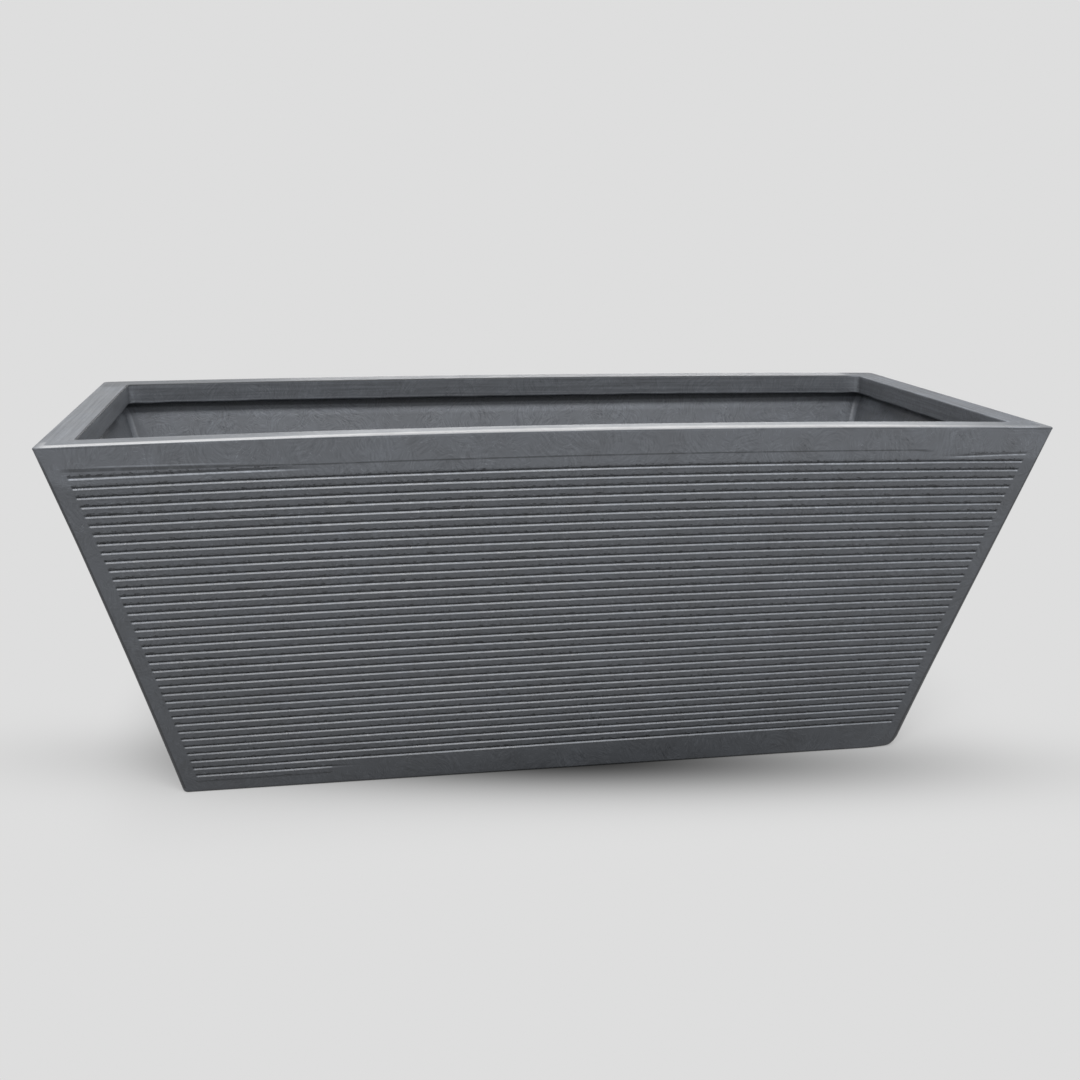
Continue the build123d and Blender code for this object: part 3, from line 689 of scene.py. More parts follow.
def deck_studs_tree():
    """A field of low grip studs on a deck, left out wherever the deck is cut or covered."""
    numbers = ("Length", "Depth", "Level", "Stud radius", "Stud height", "Clear of edges")
    maker = GeometryTree("deck_studs", numbers, {"Columns": "Int", "Rows": "Int", "Deck": "Object"})
    length, depth, level, radius, height, clear = (maker.get[name] for name in numbers)
    sizes = {"Size X": length, "Size Y": depth}
    counts = {"Vertices X": maker.get["Columns"], "Vertices Y": maker.get["Rows"]}
    field = maker.read("GeometryNodeMeshGrid", {**sizes, **counts})
    deck = maker.read("GeometryNodeObjectInfo", {"Object": maker.get["Deck"]}, "Geometry")
    position = maker.read("GeometryNodeInputPosition")
    kept = 1.0
    for way_x, way_y in ((0.0, 0.0), (1.0, 0.0), (-1.0, 0.0), (0.0, 1.0), (0.0, -1.0)):
        aside = maker.combine(clear * way_x, clear * way_y, STUD_RAY_START)
        ray = {"Source Position": maker.vector("ADD", position, aside)}
        ray.update({"Ray Direction": (0.0, 0.0, -1.0), "Ray Length": STUD_RAY_REACH})
        hit = maker.read("GeometryNodeRaycast", {"Target Geometry": deck, **ray}, "Hit Position")
        kept = hit.split()[2].near(level, STUD_LEVEL_FIT) * kept
    sunk = height * 0.2
    radii = {"Radius Bottom": radius, "Radius Top": radius * 0.6}
    stud = maker.read("GeometryNodeMeshCone", {"Vertices": STUD_SIDES, "Depth": height + sunk, **radii})
    spread = {"Points": field, "Selection": kept > 0.5, "Instance": stud}
    studs = maker.read("GeometryNodeInstanceOnPoints", spread)
    rise = maker.combine(0.0, 0.0, level - sunk)
    return maker.done(maker.read("GeometryNodeTransform", {"Geometry": studs, "Translation": rise}))


# ------------------------------------------------------------------ settings


def length(name, description, default, **limits):
    """A length among an operator's settings."""
    limits["unit"] = "LENGTH"
    return bpy.props.FloatProperty(name=name, description=description, default=default, **limits)


def share(name, description, default, **limits):
    """A plain number, nothing or more, among an operator's settings."""
    limits = {"min": 0.0, **limits}
    return bpy.props.FloatProperty(name=name, description=description, default=default, **limits)


def count(name, description, default, lowest):
    """A count among an operator's settings."""
    return bpy.props.IntProperty(name=name, description=description, default=default, min=lowest)


def tint(name, description, default):
    """A colour among an operator's settings."""
    values = {"subtype": "COLOR", "size": 3, "default": default}
    return bpy.props.FloatVectorProperty(name=name, description=description, **values)


class PlanterInsertSettings(bpy.types.PropertyGroup):
    """Edges and grip details of the water insert and its fittings."""

    edge_round: length("Edge rounding", "Rounding of moulded edges", 0.0005, min=0.0)
    fitting_round: length("Fitting rounding", "Rounding of small fittings", 0.00025, min=0.0)
    stud_radius: length("Stud radius", "Radius of a grip stud on the platform", 0.0017)
    stud_height: length("Stud height", "Height of a grip stud on the platform", 0.0007)
    stud_pitch: length("Stud pitch", "Distance from stud to stud", 0.0075, min=0.003)
    lid_ridges: count("Lid ridges", "Grip ridges round the fill lid", 36, 3)
    tube_beads: count("Tube beads", "Stiffening beads on each tube", 6, 1)


class PlanterShellSettings(bpy.types.PropertyGroup):
    """Sizes and colours of the ribbed shell."""

    top_length: length("Top length", "Length over the rim", 0.813, min=0.3)
    top_depth: length("Top depth", "Depth over the rim", 0.365, min=0.1)
    height: length("Height", "Base to rim", 0.313, min=0.1)
    base_length: length("Base length", "Length of the resting face", 0.6445, min=0.2)
    base_depth: length("Base depth", "Depth of the resting face", 0.222, min=0.1)
    wall: length("Wall", "Wall thickness", 0.005, min=0.002)
    rim_width: length("Rim width", "Width of the turned-in rim", 0.027, min=0.01)
    lip_height: length("Lip height", "Height of the turned-down lip", 0.019, min=0.005)
    rib_pitch: length("Rib pitch", "Height from one crease to the next", 0.007565)
    rib_width: length("Crease width", "Width of one crease", 0.0030)
    rib_depth: length("Crease depth", "Depth of one crease", 0.0012)
    rib_top: length("Top band", "Rim to the first full crease", 0.0302)
    rib_count: count("Creases", "Full creases on each wall", 35, 1)
    rib_margin: length("End margin", "Corner to the end of a crease", 0.0155)
    end_gain: length("End thickening", "How much thicker the end walls are high up", 0.007)
    low_end: length("Low crease end", "Where the part-way crease at the foot stops", -0.1965)
    right_margin: length("Right end margin", "The same at the right of the front", 0.0126)
    crown_front: length("Front crown", "Rise of the front rim at its middle", 0.0055)
    crown_back: length("Back crown", "Rise of the back rim at its middle", 0.0025)
    waist: share("Waist", "Share by which the ends draw in at half height", 0.005)
    shell_colour: tint("Shell colour", "Charcoal base", (0.090, 0.0945, 0.103))
    shell_tint: tint("Shell tint", "Cooler patches", (0.099, 0.107, 0.120))
    shell_roughness: share("Roughness", "Gloss of the shell", 0.42, max=1.0, subtype="FACTOR")
    streak_strength: share("Streaks", "Strength of the fanned brush marks", 0.62)
    # edge wear and a painted highlight on the rim's rounded edges
    edge_wear_and_highlight: share("Edge wear and highlight", "How much paler the rim's rounded edges are", 1.1)
    # the colour of the painted highlight along the front edge of the rim
    rim_line: tint("Rim line", "Painted highlight on the front edge of the rim", (0.322, 0.325, 0.331))
    # a painted highlight on the upward ledge of each crease
    ledge_highlight: share("Ledge highlight", "How much paler the upward ledge of each crease is", 1.85)


class PlanterStageSettings(bpy.types.PropertyGroup):
    """Camera, floor and lights."""

    backdrop_colour: tint("Backdrop", "Colour behind the planter", (0.730, 0.730, 0.730))
    floor_colour: tint("Floor", "Colour of the floor", (0.68, 0.68, 0.68))
    floor_bounce: share("Floor bounce", "Share of its colour that the floor throws back", 0.48, max=1.0)
    shadow_strength: share("Contact shadow", "Depth of the soft pool under the planter", 0.97, max=1.0)
    sky_strength: share("Sky", "Even light from all round", 0.42)
    lens: share("Lens", "Focal length in millimetres", 43.118, min=10.0)


# ------------------------------------------------------------------ water insert and fittings

STUD_CLEARANCE = 0.6 * MM
BEADS_OVER_DECK = 22.0 * MM
BEADS_UNDER_TOP = 14.0 * MM
MARKS_UNDER_TOP = 40.0 * MM


class PLANTER_OT_make_platform(bpy.types.Operator):
    """Finish the slotted platform, its posts and its field of grip studs"""

    bl_idname = "planter.make_platform"
    bl_label = "Platform and posts"

    def execute(self, context):
        s = context.scene.planter_insert
        finish_nodes(["platform"] + nodes_called("post_"), s.edge_round)
        low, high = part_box("platform")
        work = bmesh.new()
        for node in ["platform", "fill_tube", "indicator_tube"] + nodes_called("wick_cup_"):
            work.from_mesh(frame["nodes"][node].data)
        deck = from_work("deck_probe", work)
        run = high.x - low.x - 4 * s.stud_pitch
        depth = high.y - low.y - 2 * s.stud_pitch
        values = {
            "Length": run,
            "Depth": depth,
            "Columns": int(run / s.stud_pitch) + 1,
            "Rows": int(depth / s.stud_pitch) + 1,
            "Level": top_of("platform", low.x + 4.0 * MM, (low.y + high.y) / 2),
            "Stud radius": s.stud_radius,
            "Stud height": s.stud_height,
            "Clear of edges": s.stud_radius + STUD_CLEARANCE,
            "Deck": deck,
        }
        grown(deck_studs_tree(), values, "platform_studs", "water_insert", "platform_plastic")
        bpy.data.objects.remove(deck)
        return {"FINISHED"}


class PLANTER_OT_make_tubes(bpy.types.Operator):
    """Finish the fill tube, its funnel, the gauge tube, its window and the lid's pin"""

    bl_idname = "planter.make_tubes"
    bl_label = "Fill and gauge tubes"

    def execute(self, context):
        s = context.scene.planter_insert
        finish_nodes(["fill_tube", "fill_funnel", "indicator_tube"], s.edge_round)
        finish_nodes(["indicator_window", "lid_pin"], s.fitting_round)
        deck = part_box("platform")[1].z
        last = min(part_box("fill_funnel")[0].z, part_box("indicator_window")[0].z) - BEADS_UNDER_TOP
        beads = bead_stack_tree()
        for node in ("fill_tube", "indicator_tube"):
            x, y, radius = upright(node)
            first = max(deck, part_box(node)[0].z) + BEADS_OVER_DECK
            values = {
                "Count": s.tube_beads,
                "Spacing": (last - first) / max(s.tube_beads - 1, 1),
                "Tube radius": radius - 0.3 * MM,
                "Bead radius": 1.0 * MM,
                "First bead": (x, y, first),
            }
            grown(beads, values, node + "_beads", "water_insert", "tube_plastic")
        x, y, radius = upright("indicator_window")
        values = {
            "Count": 5,
            "Spacing": 8.5 * MM,
            "Tube radius": radius - 0.1 * MM,
            "Bead radius": 0.3 * MM,
            "First bead": (x, y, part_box("indicator_window")[1].z - MARKS_UNDER_TOP),
        }
        grown(beads, values, "window_level_marks", "water_insert", "fitting_plastic")
        return {"FINISHED"}


class PLANTER_OT_make_cups(bpy.types.Operator):
    """Finish the three wick cups"""

    bl_idname = "planter.make_cups"
    bl_label = "Wick cups"

    def execute(self, context):
        finish_nodes(nodes_called("wick_cup_"), context.scene.planter_insert.edge_round)
        return {"FINISHED"}


class PLANTER_OT_make_lid(bpy.types.Operator):
    """Finish the fill lid with a ring of grip ridges"""

    bl_idname = "planter.make_lid"
    bl_label = "Fill lid"

    def execute(self, context):
        s = context.scene.planter_insert
        finish_nodes(["fill_lid"], s.edge_round)
        x, y, _ = upright("fill_tube")
        values = {
            "Count": s.lid_ridges,
            "Ring radius": 20.5 * MM,
            "Bar length": 5.5 * MM,
            "Bar width": 1.1 * MM,
            "Bar height": 1.6 * MM,
            "Centre": (x, y, top_of("fill_lid", x, y)),
        }
        grown(ring_of_bars_tree(), values, "lid_ridges", "fill_lid", "lid_plastic", 0.3 * MM)
        return {"FINISHED"}


class PLANTER_OT_make_gauge(bpy.types.Operator):
    """Finish the float, its rod and the red flag"""

    bl_idname = "planter.make_gauge"
    bl_label = "Water gauge"

    def execute(self, context):
        pieces = ["indicator_float", "indicator_rod", "indicator_flag"]
        finish_nodes(pieces, context.scene.planter_insert.fitting_round)
        return {"FINISHED"}


class PLANTER_OT_make_overflow(bpy.types.Operator):
    """Finish the overflow spigot, its gasket, nut and screen"""

    bl_idname = "planter.make_overflow"
    bl_label = "Overflow"

    def execute(self, context):
        finish_nodes(nodes_called("overflow_"), context.scene.planter_insert.fitting_round)
        return {"FINISHED"}


class PLANTER_OT_make_drain(bpy.types.Operator):
    """Finish the drain plug and its gasket"""

    bl_idname = "planter.make_drain"
    bl_label = "Drain plug"

    def execute(self, context):
        finish_nodes(["drain_plug", "drain_gasket"], context.scene.planter_insert.fitting_round)
        return {"FINISHED"}


# ------------------------------------------------------------------ shell


# corner radii in millimetres, counter-clockwise from the front left
FOOT_CORNERS = (4.5, 11.0, 13.0, 12.0)
RIM_CORNERS = (3.0, 3.2, 7.0, 7.0)
INNER_CORNER = 9.0
INNER_RIM_CORNER = 5.0
CORNER_STEPS = 6

# stations along one side: beside each crease end in millimetres, then even ones from the plain end on
CREASE_END_STEPS = (-0.9, 0.0, 0.5, 1.1, 1.8, 4.0)
PLAIN_END = 12.0 * MM
LONG_STEPS = 50
SHORT_STEPS = 20

# rounded and flat parts of the section
FOOT_ROUND = 3.0 * MM
CREASE_FLAT = 0.35 * MM
CREST_ROUND = 1.4 * MM
INNER_ROUND = 1.1 * MM
SMALLEST_ROUND = 0.9 * MM
LIP_THICKNESS = 4.0 * MM
FLOOR_THICKNESS = 6.0 * MM
FLOOR_ROUND = 9.0 * MM

# heights between which the end walls grow thicker, and from which on they are back to the plain wall
GAIN_START = 0.120
GAIN_FULL = 0.270
GAIN_FADE = 0.285
GAIN_END = 0.299

# places along the front, and down from the rim, between which the part-way creases fade in, and the
# slant at the right end of the first one
FIRST_LEFT = (-0.200, -0.250)
FIRST_RIGHT = (0.316, 0.328)
LOW_FADE = 11.5 * MM
SLANT_DROP = (0.0189, 0.0206, 0.0247, 0.0282)
SLANT_FROM = (0.290, 0.310)
SLANT_FALL = (0.320, 0.387)

# the tucked foot corner: how far up and along it reaches, and which way it goes
TUCK_HEIGHT = 10.0 * MM
TUCK_REACH = (30.0 * MM, 4.5 * MM)
TUCK_WAY = (-1.0, 0.5, 0.1)

FRONT_LEAN = math.radians(12.87)
GASKET_HALF = 1.0 * MM
PAD_RADIUS = 25.0 * MM
BORE_RADIUS = 10.05 * MM
WEB_INNER = Vector((27.5 * MM, 27.5 * MM, 0.0))
WEB_OUTER = Vector((7.7 * MM, 7.6 * MM, 0.0))
WEB_THICKNESS = 4.0 * MM
WEB_DROP = 1.5 * MM


def side_stations(length, radii, margins, steps):
    """Distances along one side from its left corner: close at the crease ends, even between."""

    def near(radius, margin):
        ends = [margin + step * MM for step in CREASE_END_STEPS]
        return [radius, radius + (margin - radius) * 0.45] + ends

    first, last = margins[0] + PLAIN_END, length - margins[1] - PLAIN_END
    middle = [first + (last - first) * i / (steps - 1) for i in range(steps)]
    return near(radii[0], margins[0]) + middle + [length - s for s in reversed(near(radii[1], margins[1]))]


def ring_points(half_x, half_y, radii, margin, right_margin):
    """One level of the shell, counter-clockwise from the front left.

    Each point: x, y, distance from the side's middle, distance to its corner, side, inward x and inward y.
    """
    corners = [(-half_x, -half_y), (half_x, -half_y), (half_x, half_y), (-half_x, half_y)]
    points = []
    for side, (way_x, way_y) in enumerate(((1, 0), (0, 1), (-1, 0), (0, -1))):
        after = (side + 1) % 4
        start_x, start_y = corners[side]
        end_x, end_y = corners[after]
        run = 2 * (half_x if way_x else half_y)
        steps = LONG_STEPS if way_x else SHORT_STEPS
        margins = (margin, right_margin if side == 0 else margin)
        for along in side_stations(run, (radii[side], radii[after]), margins, steps):
            edge = min(along, run - along + margin - margins[1])
            place = (start_x + way_x * along, start_y + way_y * along)
            points.append((*place, along - run / 2, edge, side, -way_y, way_x))
        radius = radii[after]
        centre_x = end_x - radius * way_x - radius * way_y
        centre_y = end_y - radius * way_y + radius * way_x
        for step in range(1, CORNER_STEPS):
            angle = math.atan2(-way_x, way_y) + (math.pi / 2) * step / CORNER_STEPS
            out_x, out_y = math.cos(angle), math.sin(angle)
            across, owner = (run / 2, side) if step < CORNER_STEPS / 2 else (0.0, after)
            place = (centre_x + radius * out_x, centre_y + radius * out_y)
            points.append((*place, across, 0.0, owner, -out_x, -out_y))
    return points


def held(share):
    """A share kept between 0 and 1."""
    return min(max(share, 0.0), 1.0)


def leans(s):
    """How far the end walls and the long walls lean outwards."""
    lean_x = math.atan((s.top_length - s.base_length) / 2 / s.height)
    return lean_x, math.atan((s.top_depth - s.base_depth) / 2 / s.height)


def angles(steps, start=0.0, end=math.pi / 2):
    """Even angles from the start to the end, both included; a quarter turn unless told otherwise."""
    return [start + (end - start) * step / steps for step in range(steps + 1)]


def shell_levels(s):
    """The shell's section as rings from the resting face, up the outside, over the rim and down inside.

    Each entry: half_x, half_y, four corner radii, z, drop below the rim (-1 off the ribbed wall),
    wear_and_highlight (edge wear and a painted highlight), inside, brow (1 where a painted highlight runs
    along the outer rim edge, below 0 for the painted shade under it).
    """
    lean_x, lean_y = leans(s)
    lean = (lean_x + lean_y) / 2
    top = s.height
    levels = []

    def half_x(z):
        return s.base_length / 2 + math.tan(lean_x) * z

    def half_y(z):
        return s.base_depth / 2 + math.tan(lean_y) * z

    def outer_radii(z, inset):
        radii = [low + (high - low) * held(z / top) for low, high in zip(FOOT_CORNERS, RIM_CORNERS)]
        return [max(radius * MM - inset, SMALLEST_ROUND) for radius in radii]

    def outer(z, inset=0.0, drop=-1.0):
        levels.append((half_x(z) - inset, half_y(z) - inset, outer_radii(z, inset), z, drop, 0.0, 0.0, 0.0))

    def rim(inset, z, radii, wear_and_highlight=0.0, inside=0.0, brow=0.0):
        radii = [radii * MM] * 4 if isinstance(radii, float) else radii
        halves = (s.top_length / 2 - inset, s.top_depth / 2 - inset)
        levels.append((*halves, radii, z, -1.0, wear_and_highlight, inside, brow))

    # base edge
    foot = FOOT_ROUND
    foot_centre = foot / math.cos(lean) - foot * math.tan(lean)
    outer(0.0, foot_centre + 6.0 * MM)
    for angle in angles(5, -math.pi / 2, -lean):
        z = foot + foot * math.sin(angle)
        outer(z, foot_centre - foot * math.cos(angle) + z * math.tan(lean))
    foot_top = foot - foot * math.sin(lean)

    # ribbed wall, bottom to top
    crest = CREST_ROUND
    half = s.rib_width / 2
    root = (CREASE_ROOT - ROOT_FLAT, CREASE_ROOT + ROOT_FLAT)
    section = (-half - CREASE_FLAT, -half, *root, half, half + CREASE_FLAT)
    centres = [s.rib_top + index * s.rib_pitch for index in range(-2, s.rib_count + 1)]
    drops = [centre + offset for centre in centres for offset in (*section, s.rib_pitch / 2)]
    drops = [d for d in drops if top - d > foot_top + 1.5 * MM and d > crest * 1.6]
    lowest = top - max(drops)
    for share in (0.25, 0.6):
        z = foot_top + (lowest - foot_top) * share
        outer(z, 0.0, top - z)
    for drop in sorted(drops, reverse=True) + [3.2 * MM, 2.3 * MM]:
        outer(top - drop, 0.0, drop)

    # outer rim edge
    crest_centre = crest * math.tan(lean) + crest / math.cos(lean)
    # for each step of the rounding: edge wear with a painted highlight, and the brow, 1 where the painted
    # highlight runs and below 0 for the painted shade under it
    wear = (0.0, 0.0, 0.2, 1.0, 1.0, 0.8, 0.3)
    brows = (-1.0, -1.0, -0.5, 1.0, 1.0, 1.0, 1.0)
    for angle, wear_and_highlight, brow in zip(angles(6, -lean), wear, brows):
        z = top - crest + crest * math.sin(angle)
        inset = crest_centre - crest * math.cos(angle)
        rim(inset, z, outer_radii(z, inset), wear_and_highlight, 0.0, brow)

    # rim top, inner edge and lip
    width = s.rim_width
    turn_in = width - INNER_ROUND
    turn_down = top - INNER_ROUND
    # brow on the rim top: how far across it the painted highlight along the front reaches
    for share, brow in ((0.06, 0.95), (0.35, 0.46), (0.62, 0.0), (0.94, 0.0)):
        inset = crest_centre + (turn_in - crest_centre) * share
        rim(inset, top, 3.0 + 2.0 * share, 0.0, 0.0, brow)
    for angle in angles(4):
        inset = turn_in + INNER_ROUND * math.sin(angle)
        rim(inset, turn_down + INNER_ROUND * math.cos(angle), INNER_RIM_CORNER, 0.4)
    lip_round = LIP_THICKNESS / 2
    lip_low = top - s.lip_height + lip_round
    for share in (0.04, 0.35, 0.7, 0.96):
        rim(width, turn_down + (lip_low - turn_down) * share, INNER_RIM_CORNER, 0.0, 0.3)
    for angle in angles(8, 0.0, math.pi):
        inset = width - lip_round + lip_round * math.cos(angle)
        radius = INNER_RIM_CORNER + (INNER_CORNER - INNER_RIM_CORNER) * angle / math.pi
        rim(inset, lip_low - lip_round * math.sin(angle), radius, 0.2, 0.6)
    under = top - LIP_THICKNESS
    for inwards, down in ((0.0, 5.0), (0.0, 1.2), (0.35, 0.35), (1.2, 0.0)):
        rim(width - LIP_THICKNESS - inwards * MM, under - down * MM, INNER_CORNER, 0.0, 1.0)

    # inner wall: the end walls grow thicker above the platform and thin out again behind the lip
    run_x = s.wall / math.cos(lean_x)
    run_y = s.wall / math.cos(lean_y)

    def inner(z, inset=0.0):
        grown_in = held((z - GAIN_START) / (GAIN_FULL - GAIN_START))
        behind_lip = held((GAIN_END - z) / (GAIN_END - GAIN_FADE))
        gain = s.end_gain * grown_in * grown_in * (3 - 2 * grown_in) * behind_lip
        radii = [(INNER_CORNER + (INNER_RIM_CORNER - INNER_CORNER) * z / top) * MM] * 4
        halves = (half_x(z) - run_x - gain - inset, half_y(z) - run_y - inset)
        levels.append((*halves, radii, z, -1.0, 0.0, 1.0, 0.0))

    for inwards, down in ((3.0, 0.0), (1.2, 0.4), (0.3, 1.2), (0.0, 3.0)):
        inner(under - down * MM, inwards * MM)
    wall_low = FLOOR_THICKNESS + FLOOR_ROUND
    for share in (0.04, 0.07, 0.1, 0.2, 0.35, 0.5, 0.65, 0.8, 0.95, 1.0):
        inner(under - (under - wall_low) * share)
    for angle in angles(4)[1:]:
        inner(wall_low - FLOOR_ROUND * math.sin(angle), FLOOR_ROUND * (1 - math.cos(angle)) * 0.8)
    inner(FLOOR_THICKNESS, FLOOR_ROUND * 1.6)
    return levels


def shell_blank(s):
    """The flush shell: a closed mesh of rings with the values that the ribbing and the finish read."""
    lean_x, lean_y = leans(s)
    points = []
    run = 0.0
    previous = None
    for half_x, half_y, radii, z, drop, wear_and_highlight, inside, brow in shell_levels(s):
        if previous is not None:
            run += math.hypot(half_y - previous[0], z - previous[1])
        previous = (half_y, z)
        ring = ring_points(half_x, half_y, radii, s.rib_margin, s.right_margin)
        for x, y, across, edge, side, in_x, in_y in ring:
            tilt = lean_x if abs(in_x) > abs(in_y) else lean_y
            inward = (in_x * math.cos(tilt), in_y * math.cos(tilt), math.sin(tilt))
            points.append(((x, y, z), drop, across, edge, wear_and_highlight, inside, brow, side, inward, run))
    vertices, *measures, side_of, inward, reach = zip(*points)

    columns = len(ring)
    last_row = len(points) - columns
    faces = [
        (row + column, row + after, row + columns + after, row + columns + column)
        for row in range(0, last_row, columns)
        for column, after in zip(range(columns), [*range(1, columns), 0])
    ]
    faces += [tuple(reversed(range(columns))), tuple(range(last_row, last_row + columns))]
    piece = mesh_object("planter_shell_blank", vertices, faces)
    mesh = piece.data

    kept = [("side", "INT", "value", side_of), ("inward", "FLOAT_VECTOR", "vector", inward)]
    for name, values in zip(("drop", "across", "edge", "wear_and_highlight", "inside", "brow"), measures):
        kept.append((name, "FLOAT", "value", values))
    for name, kind, field, values in kept:
        numbers = np.array(values, np.int32 if kind == "INT" else np.float32).ravel()
        mesh.attributes.new(name, kind, "POINT").data.foreach_set(field, numbers)

    # the skin runs along each side and up its section; the two closing faces lie apart
    skin = mesh.uv_layers.new(name="skin")
    coordinates = np.zeros((len(mesh.loops), 2), np.float32)
    for polygon in mesh.polygons:
        owner = side_of[polygon.vertices[0]]
        for loop, vertex in zip(polygon.loop_indices, polygon.vertices):
            x, y, _ = vertices[vertex]
            skin_place = ((y if owner % 2 else x) + owner * 2.0, reach[vertex])
            coordinates[loop] = skin_place if len(polygon.vertices) == 4 else (x + 4.0, y)
    skin.data.foreach_set("uv", coordinates.ravel())
    return piece


def ribbing_tree(numbers):
    """Presses the creases into the flush walls, then gives the shell its crown and waist."""
    maker = GeometryTree("planter_ribbing", numbers)
    get = maker.get
    drop, across, edge = (maker.stored(name) for name in ("drop", "across", "edge"))
    side = maker.stored("side", "INT")
    inward = maker.stored("inward", "FLOAT_VECTOR")
    position = maker.read("GeometryNodeInputPosition")
    x, y, z = position.split()
    long_share = x / get["Half length"]
    up_share = z / get["Height"]

    # the crease nearest to this point and how deep this point lies in it
    line = (drop - get["Top band"]) / get["Pitch"]
    index = round(line)
    offset = (line - index) * get["Pitch"]
    half = get["Crease width"] * 0.5
    upper_flank = offset.ramp(half * -1.0, CREASE_ROOT - ROOT_FLAT, smooth=False)
    lower_flank = offset.ramp(CREASE_ROOT + ROOT_FLAT, half, 1.0, 0.0, smooth=False)
    ends = edge.ramp(get["End margin"], get["End margin"] + 1.8 * MM, smooth=False)

    # creases that run part of the way: one above the full ones, one below
    full = (index > -0.5) * (index - (get["Count"] - 1.0) < 0.5)
    long_side = side % 2.0 < 0.5
    left, right = across.ramp(*FIRST_LEFT), across.ramp(*FIRST_RIGHT)
    first = index.near(-1.0, 0.1) * maker.mix(long_side, 0.5, (right * 0.6 + left) * 0.75)
    low_end = across.ramp(get["Low crease end"] + LOW_FADE, get["Low crease end"])
    low = index.near(get["Count"], 0.1) * low_end * long_side * 0.9
    on_wall = drop > 0.0
    press = ends * (full + first + low) * on_wall
    crease = maker.math("MINIMUM", upper_flank, lower_flank) * press

    # a little hand in it: the creases wander and their depth varies
    lane = maker.combine(across * 9.0, index * 1.7, side * 5.3)
    wander = (maker.noise(lane, 1.0, 2.0) - 0.5) * get["Wander"]
    other_lane = maker.vector("ADD", lane, (7.1, 3.3, 0.9))
    depth = crease * get["Crease depth"] * maker.noise(other_lane, 1.0, 2.0).ramp(0.3, 0.7, 0.86, 1.12)
    swell = (maker.noise(position, 5.0, 2.0) - 0.5) * (1.2 * MM) * drop.ramp(0.005, 0.03)
    shift = maker.combine(0.0, 0.0, wander * on_wall * ends)
    push = maker.vector("ADD", maker.scale(inward, depth + swell), shift)

    # the front creases sag most a little above half height and fall towards the left
    from_deepest = up_share - get["Sag height"]
    sag = from_deepest * from_deepest * get["Sag spread"] - get["Sag depth"]
    sag += long_share * get["Tilt"] * (up_share * -0.5 + 1.0)
    sag *= drop.ramp(0.006, 0.027) * up_share.ramp(0.01, 0.06)

    # the right end of the first part-way crease leaves the full ones at a slant
    lower = drop.within(*SLANT_DROP, smooth=False) * get["Right drop"]
    lower *= across.ramp(*SLANT_FROM) * across.ramp(*SLANT_FALL, 1.0, 0.35)

    slide = (sag - lower) * (side < 0.5) * edge.ramp(0.0, 0.012)
    push = maker.vector("ADD", push, maker.scale((0.0, -math.tan(FRONT_LEAN), 1.0), slide))

    # the lower edge of the lip is a little uneven
    lip_edge = maker.stored("inside").near(0.6, 0.05)
    uneven = maker.noise(maker.vector("MULTIPLY", position, (1.0, 1.0, 0.0)), 26.0, 3.0) - 0.5
    push = maker.vector("ADD", push, maker.combine(0.0, 0.0, uneven * get["Lip wave"] * lip_edge))

    kept = {"Geometry": get["Geometry"], "Name": "press", "Value": press}
    stored = maker.read("GeometryNodeStoreNamedAttribute", kept, data_type="FLOAT", domain="POINT")
    pressed = maker.read("GeometryNodeSetPosition", {"Geometry": stored, "Offset": push})

    # crown: the long rims rise towards their middle; waist: the ends draw in at half height
    height_share = (z / get["Height"]).clamped()
    bow = (1.0 - long_share * long_share).clamped()
    frontness = (y / get["Half depth"] * -0.5 + 0.5).clamped()
    crown = maker.mix(frontness, get["Back crown"], get["Front crown"])
    rise = crown * bow * height_share**0.6
    draw_in = height_share * (1.0 - height_share) * -4.0 * get["Waist"] * x

    # the right end stands further out below the rim, and its front foot corner is tucked in
    at_right = x > 0.0
    flare = maker.math("MAXIMUM", side.near(1.0, 0.1), edge.ramp(0.0145, 0.0045) * at_right)
    draw_in += flare * (1.0 - height_share**4.0) * get["Right flare"]
    tuck = (1.0 - z / TUCK_HEIGHT).clamped()
    tuck *= tuck * edge.ramp(*TUCK_REACH) * at_right * (y < 0.0) * get["Foot tuck"]
    moved = maker.vector("ADD", maker.combine(draw_in, 0.0, rise), maker.scale(TUCK_WAY, tuck))
    return maker.done(maker.read("GeometryNodeSetPosition", {"Geometry": pressed, "Offset": moved}))


def cylinder_tool(name, centre, axis, radius, start, end, segments=64):
    """A closed cylinder along an axis, for joining to or cutting the shell."""
    work = bmesh.new()
    sizes = {"radius1": radius, "radius2": radius, "depth": end - start}
    bmesh.ops.create_cone(work, cap_ends=True, segments=segments, **sizes)
    turn = axis.to_track_quat("Z", "Y").to_matrix().to_4x4()
    place = Matrix.Translation(centre + axis * (start + end) / 2) @ turn
    bmesh.ops.transform(work, matrix=place, verts=work.verts)
    return from_work(name, work)


def fitting_seats():
    """The outward direction of the back wall, and where the two fittings meet its outer face."""
    mounts = frame["record"]["mounts"]
    spigot = next(mount for mount in mounts if mount["name"] == "overflow_spigot")
    outward = Vector(spigot["axis"]).normalized()
    middles = [sum(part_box(node), Vector()) / 2 for node in ("overflow_gasket", "drain_gasket")]
    return outward, [middle - outward * GASKET_HALF for middle in middles]


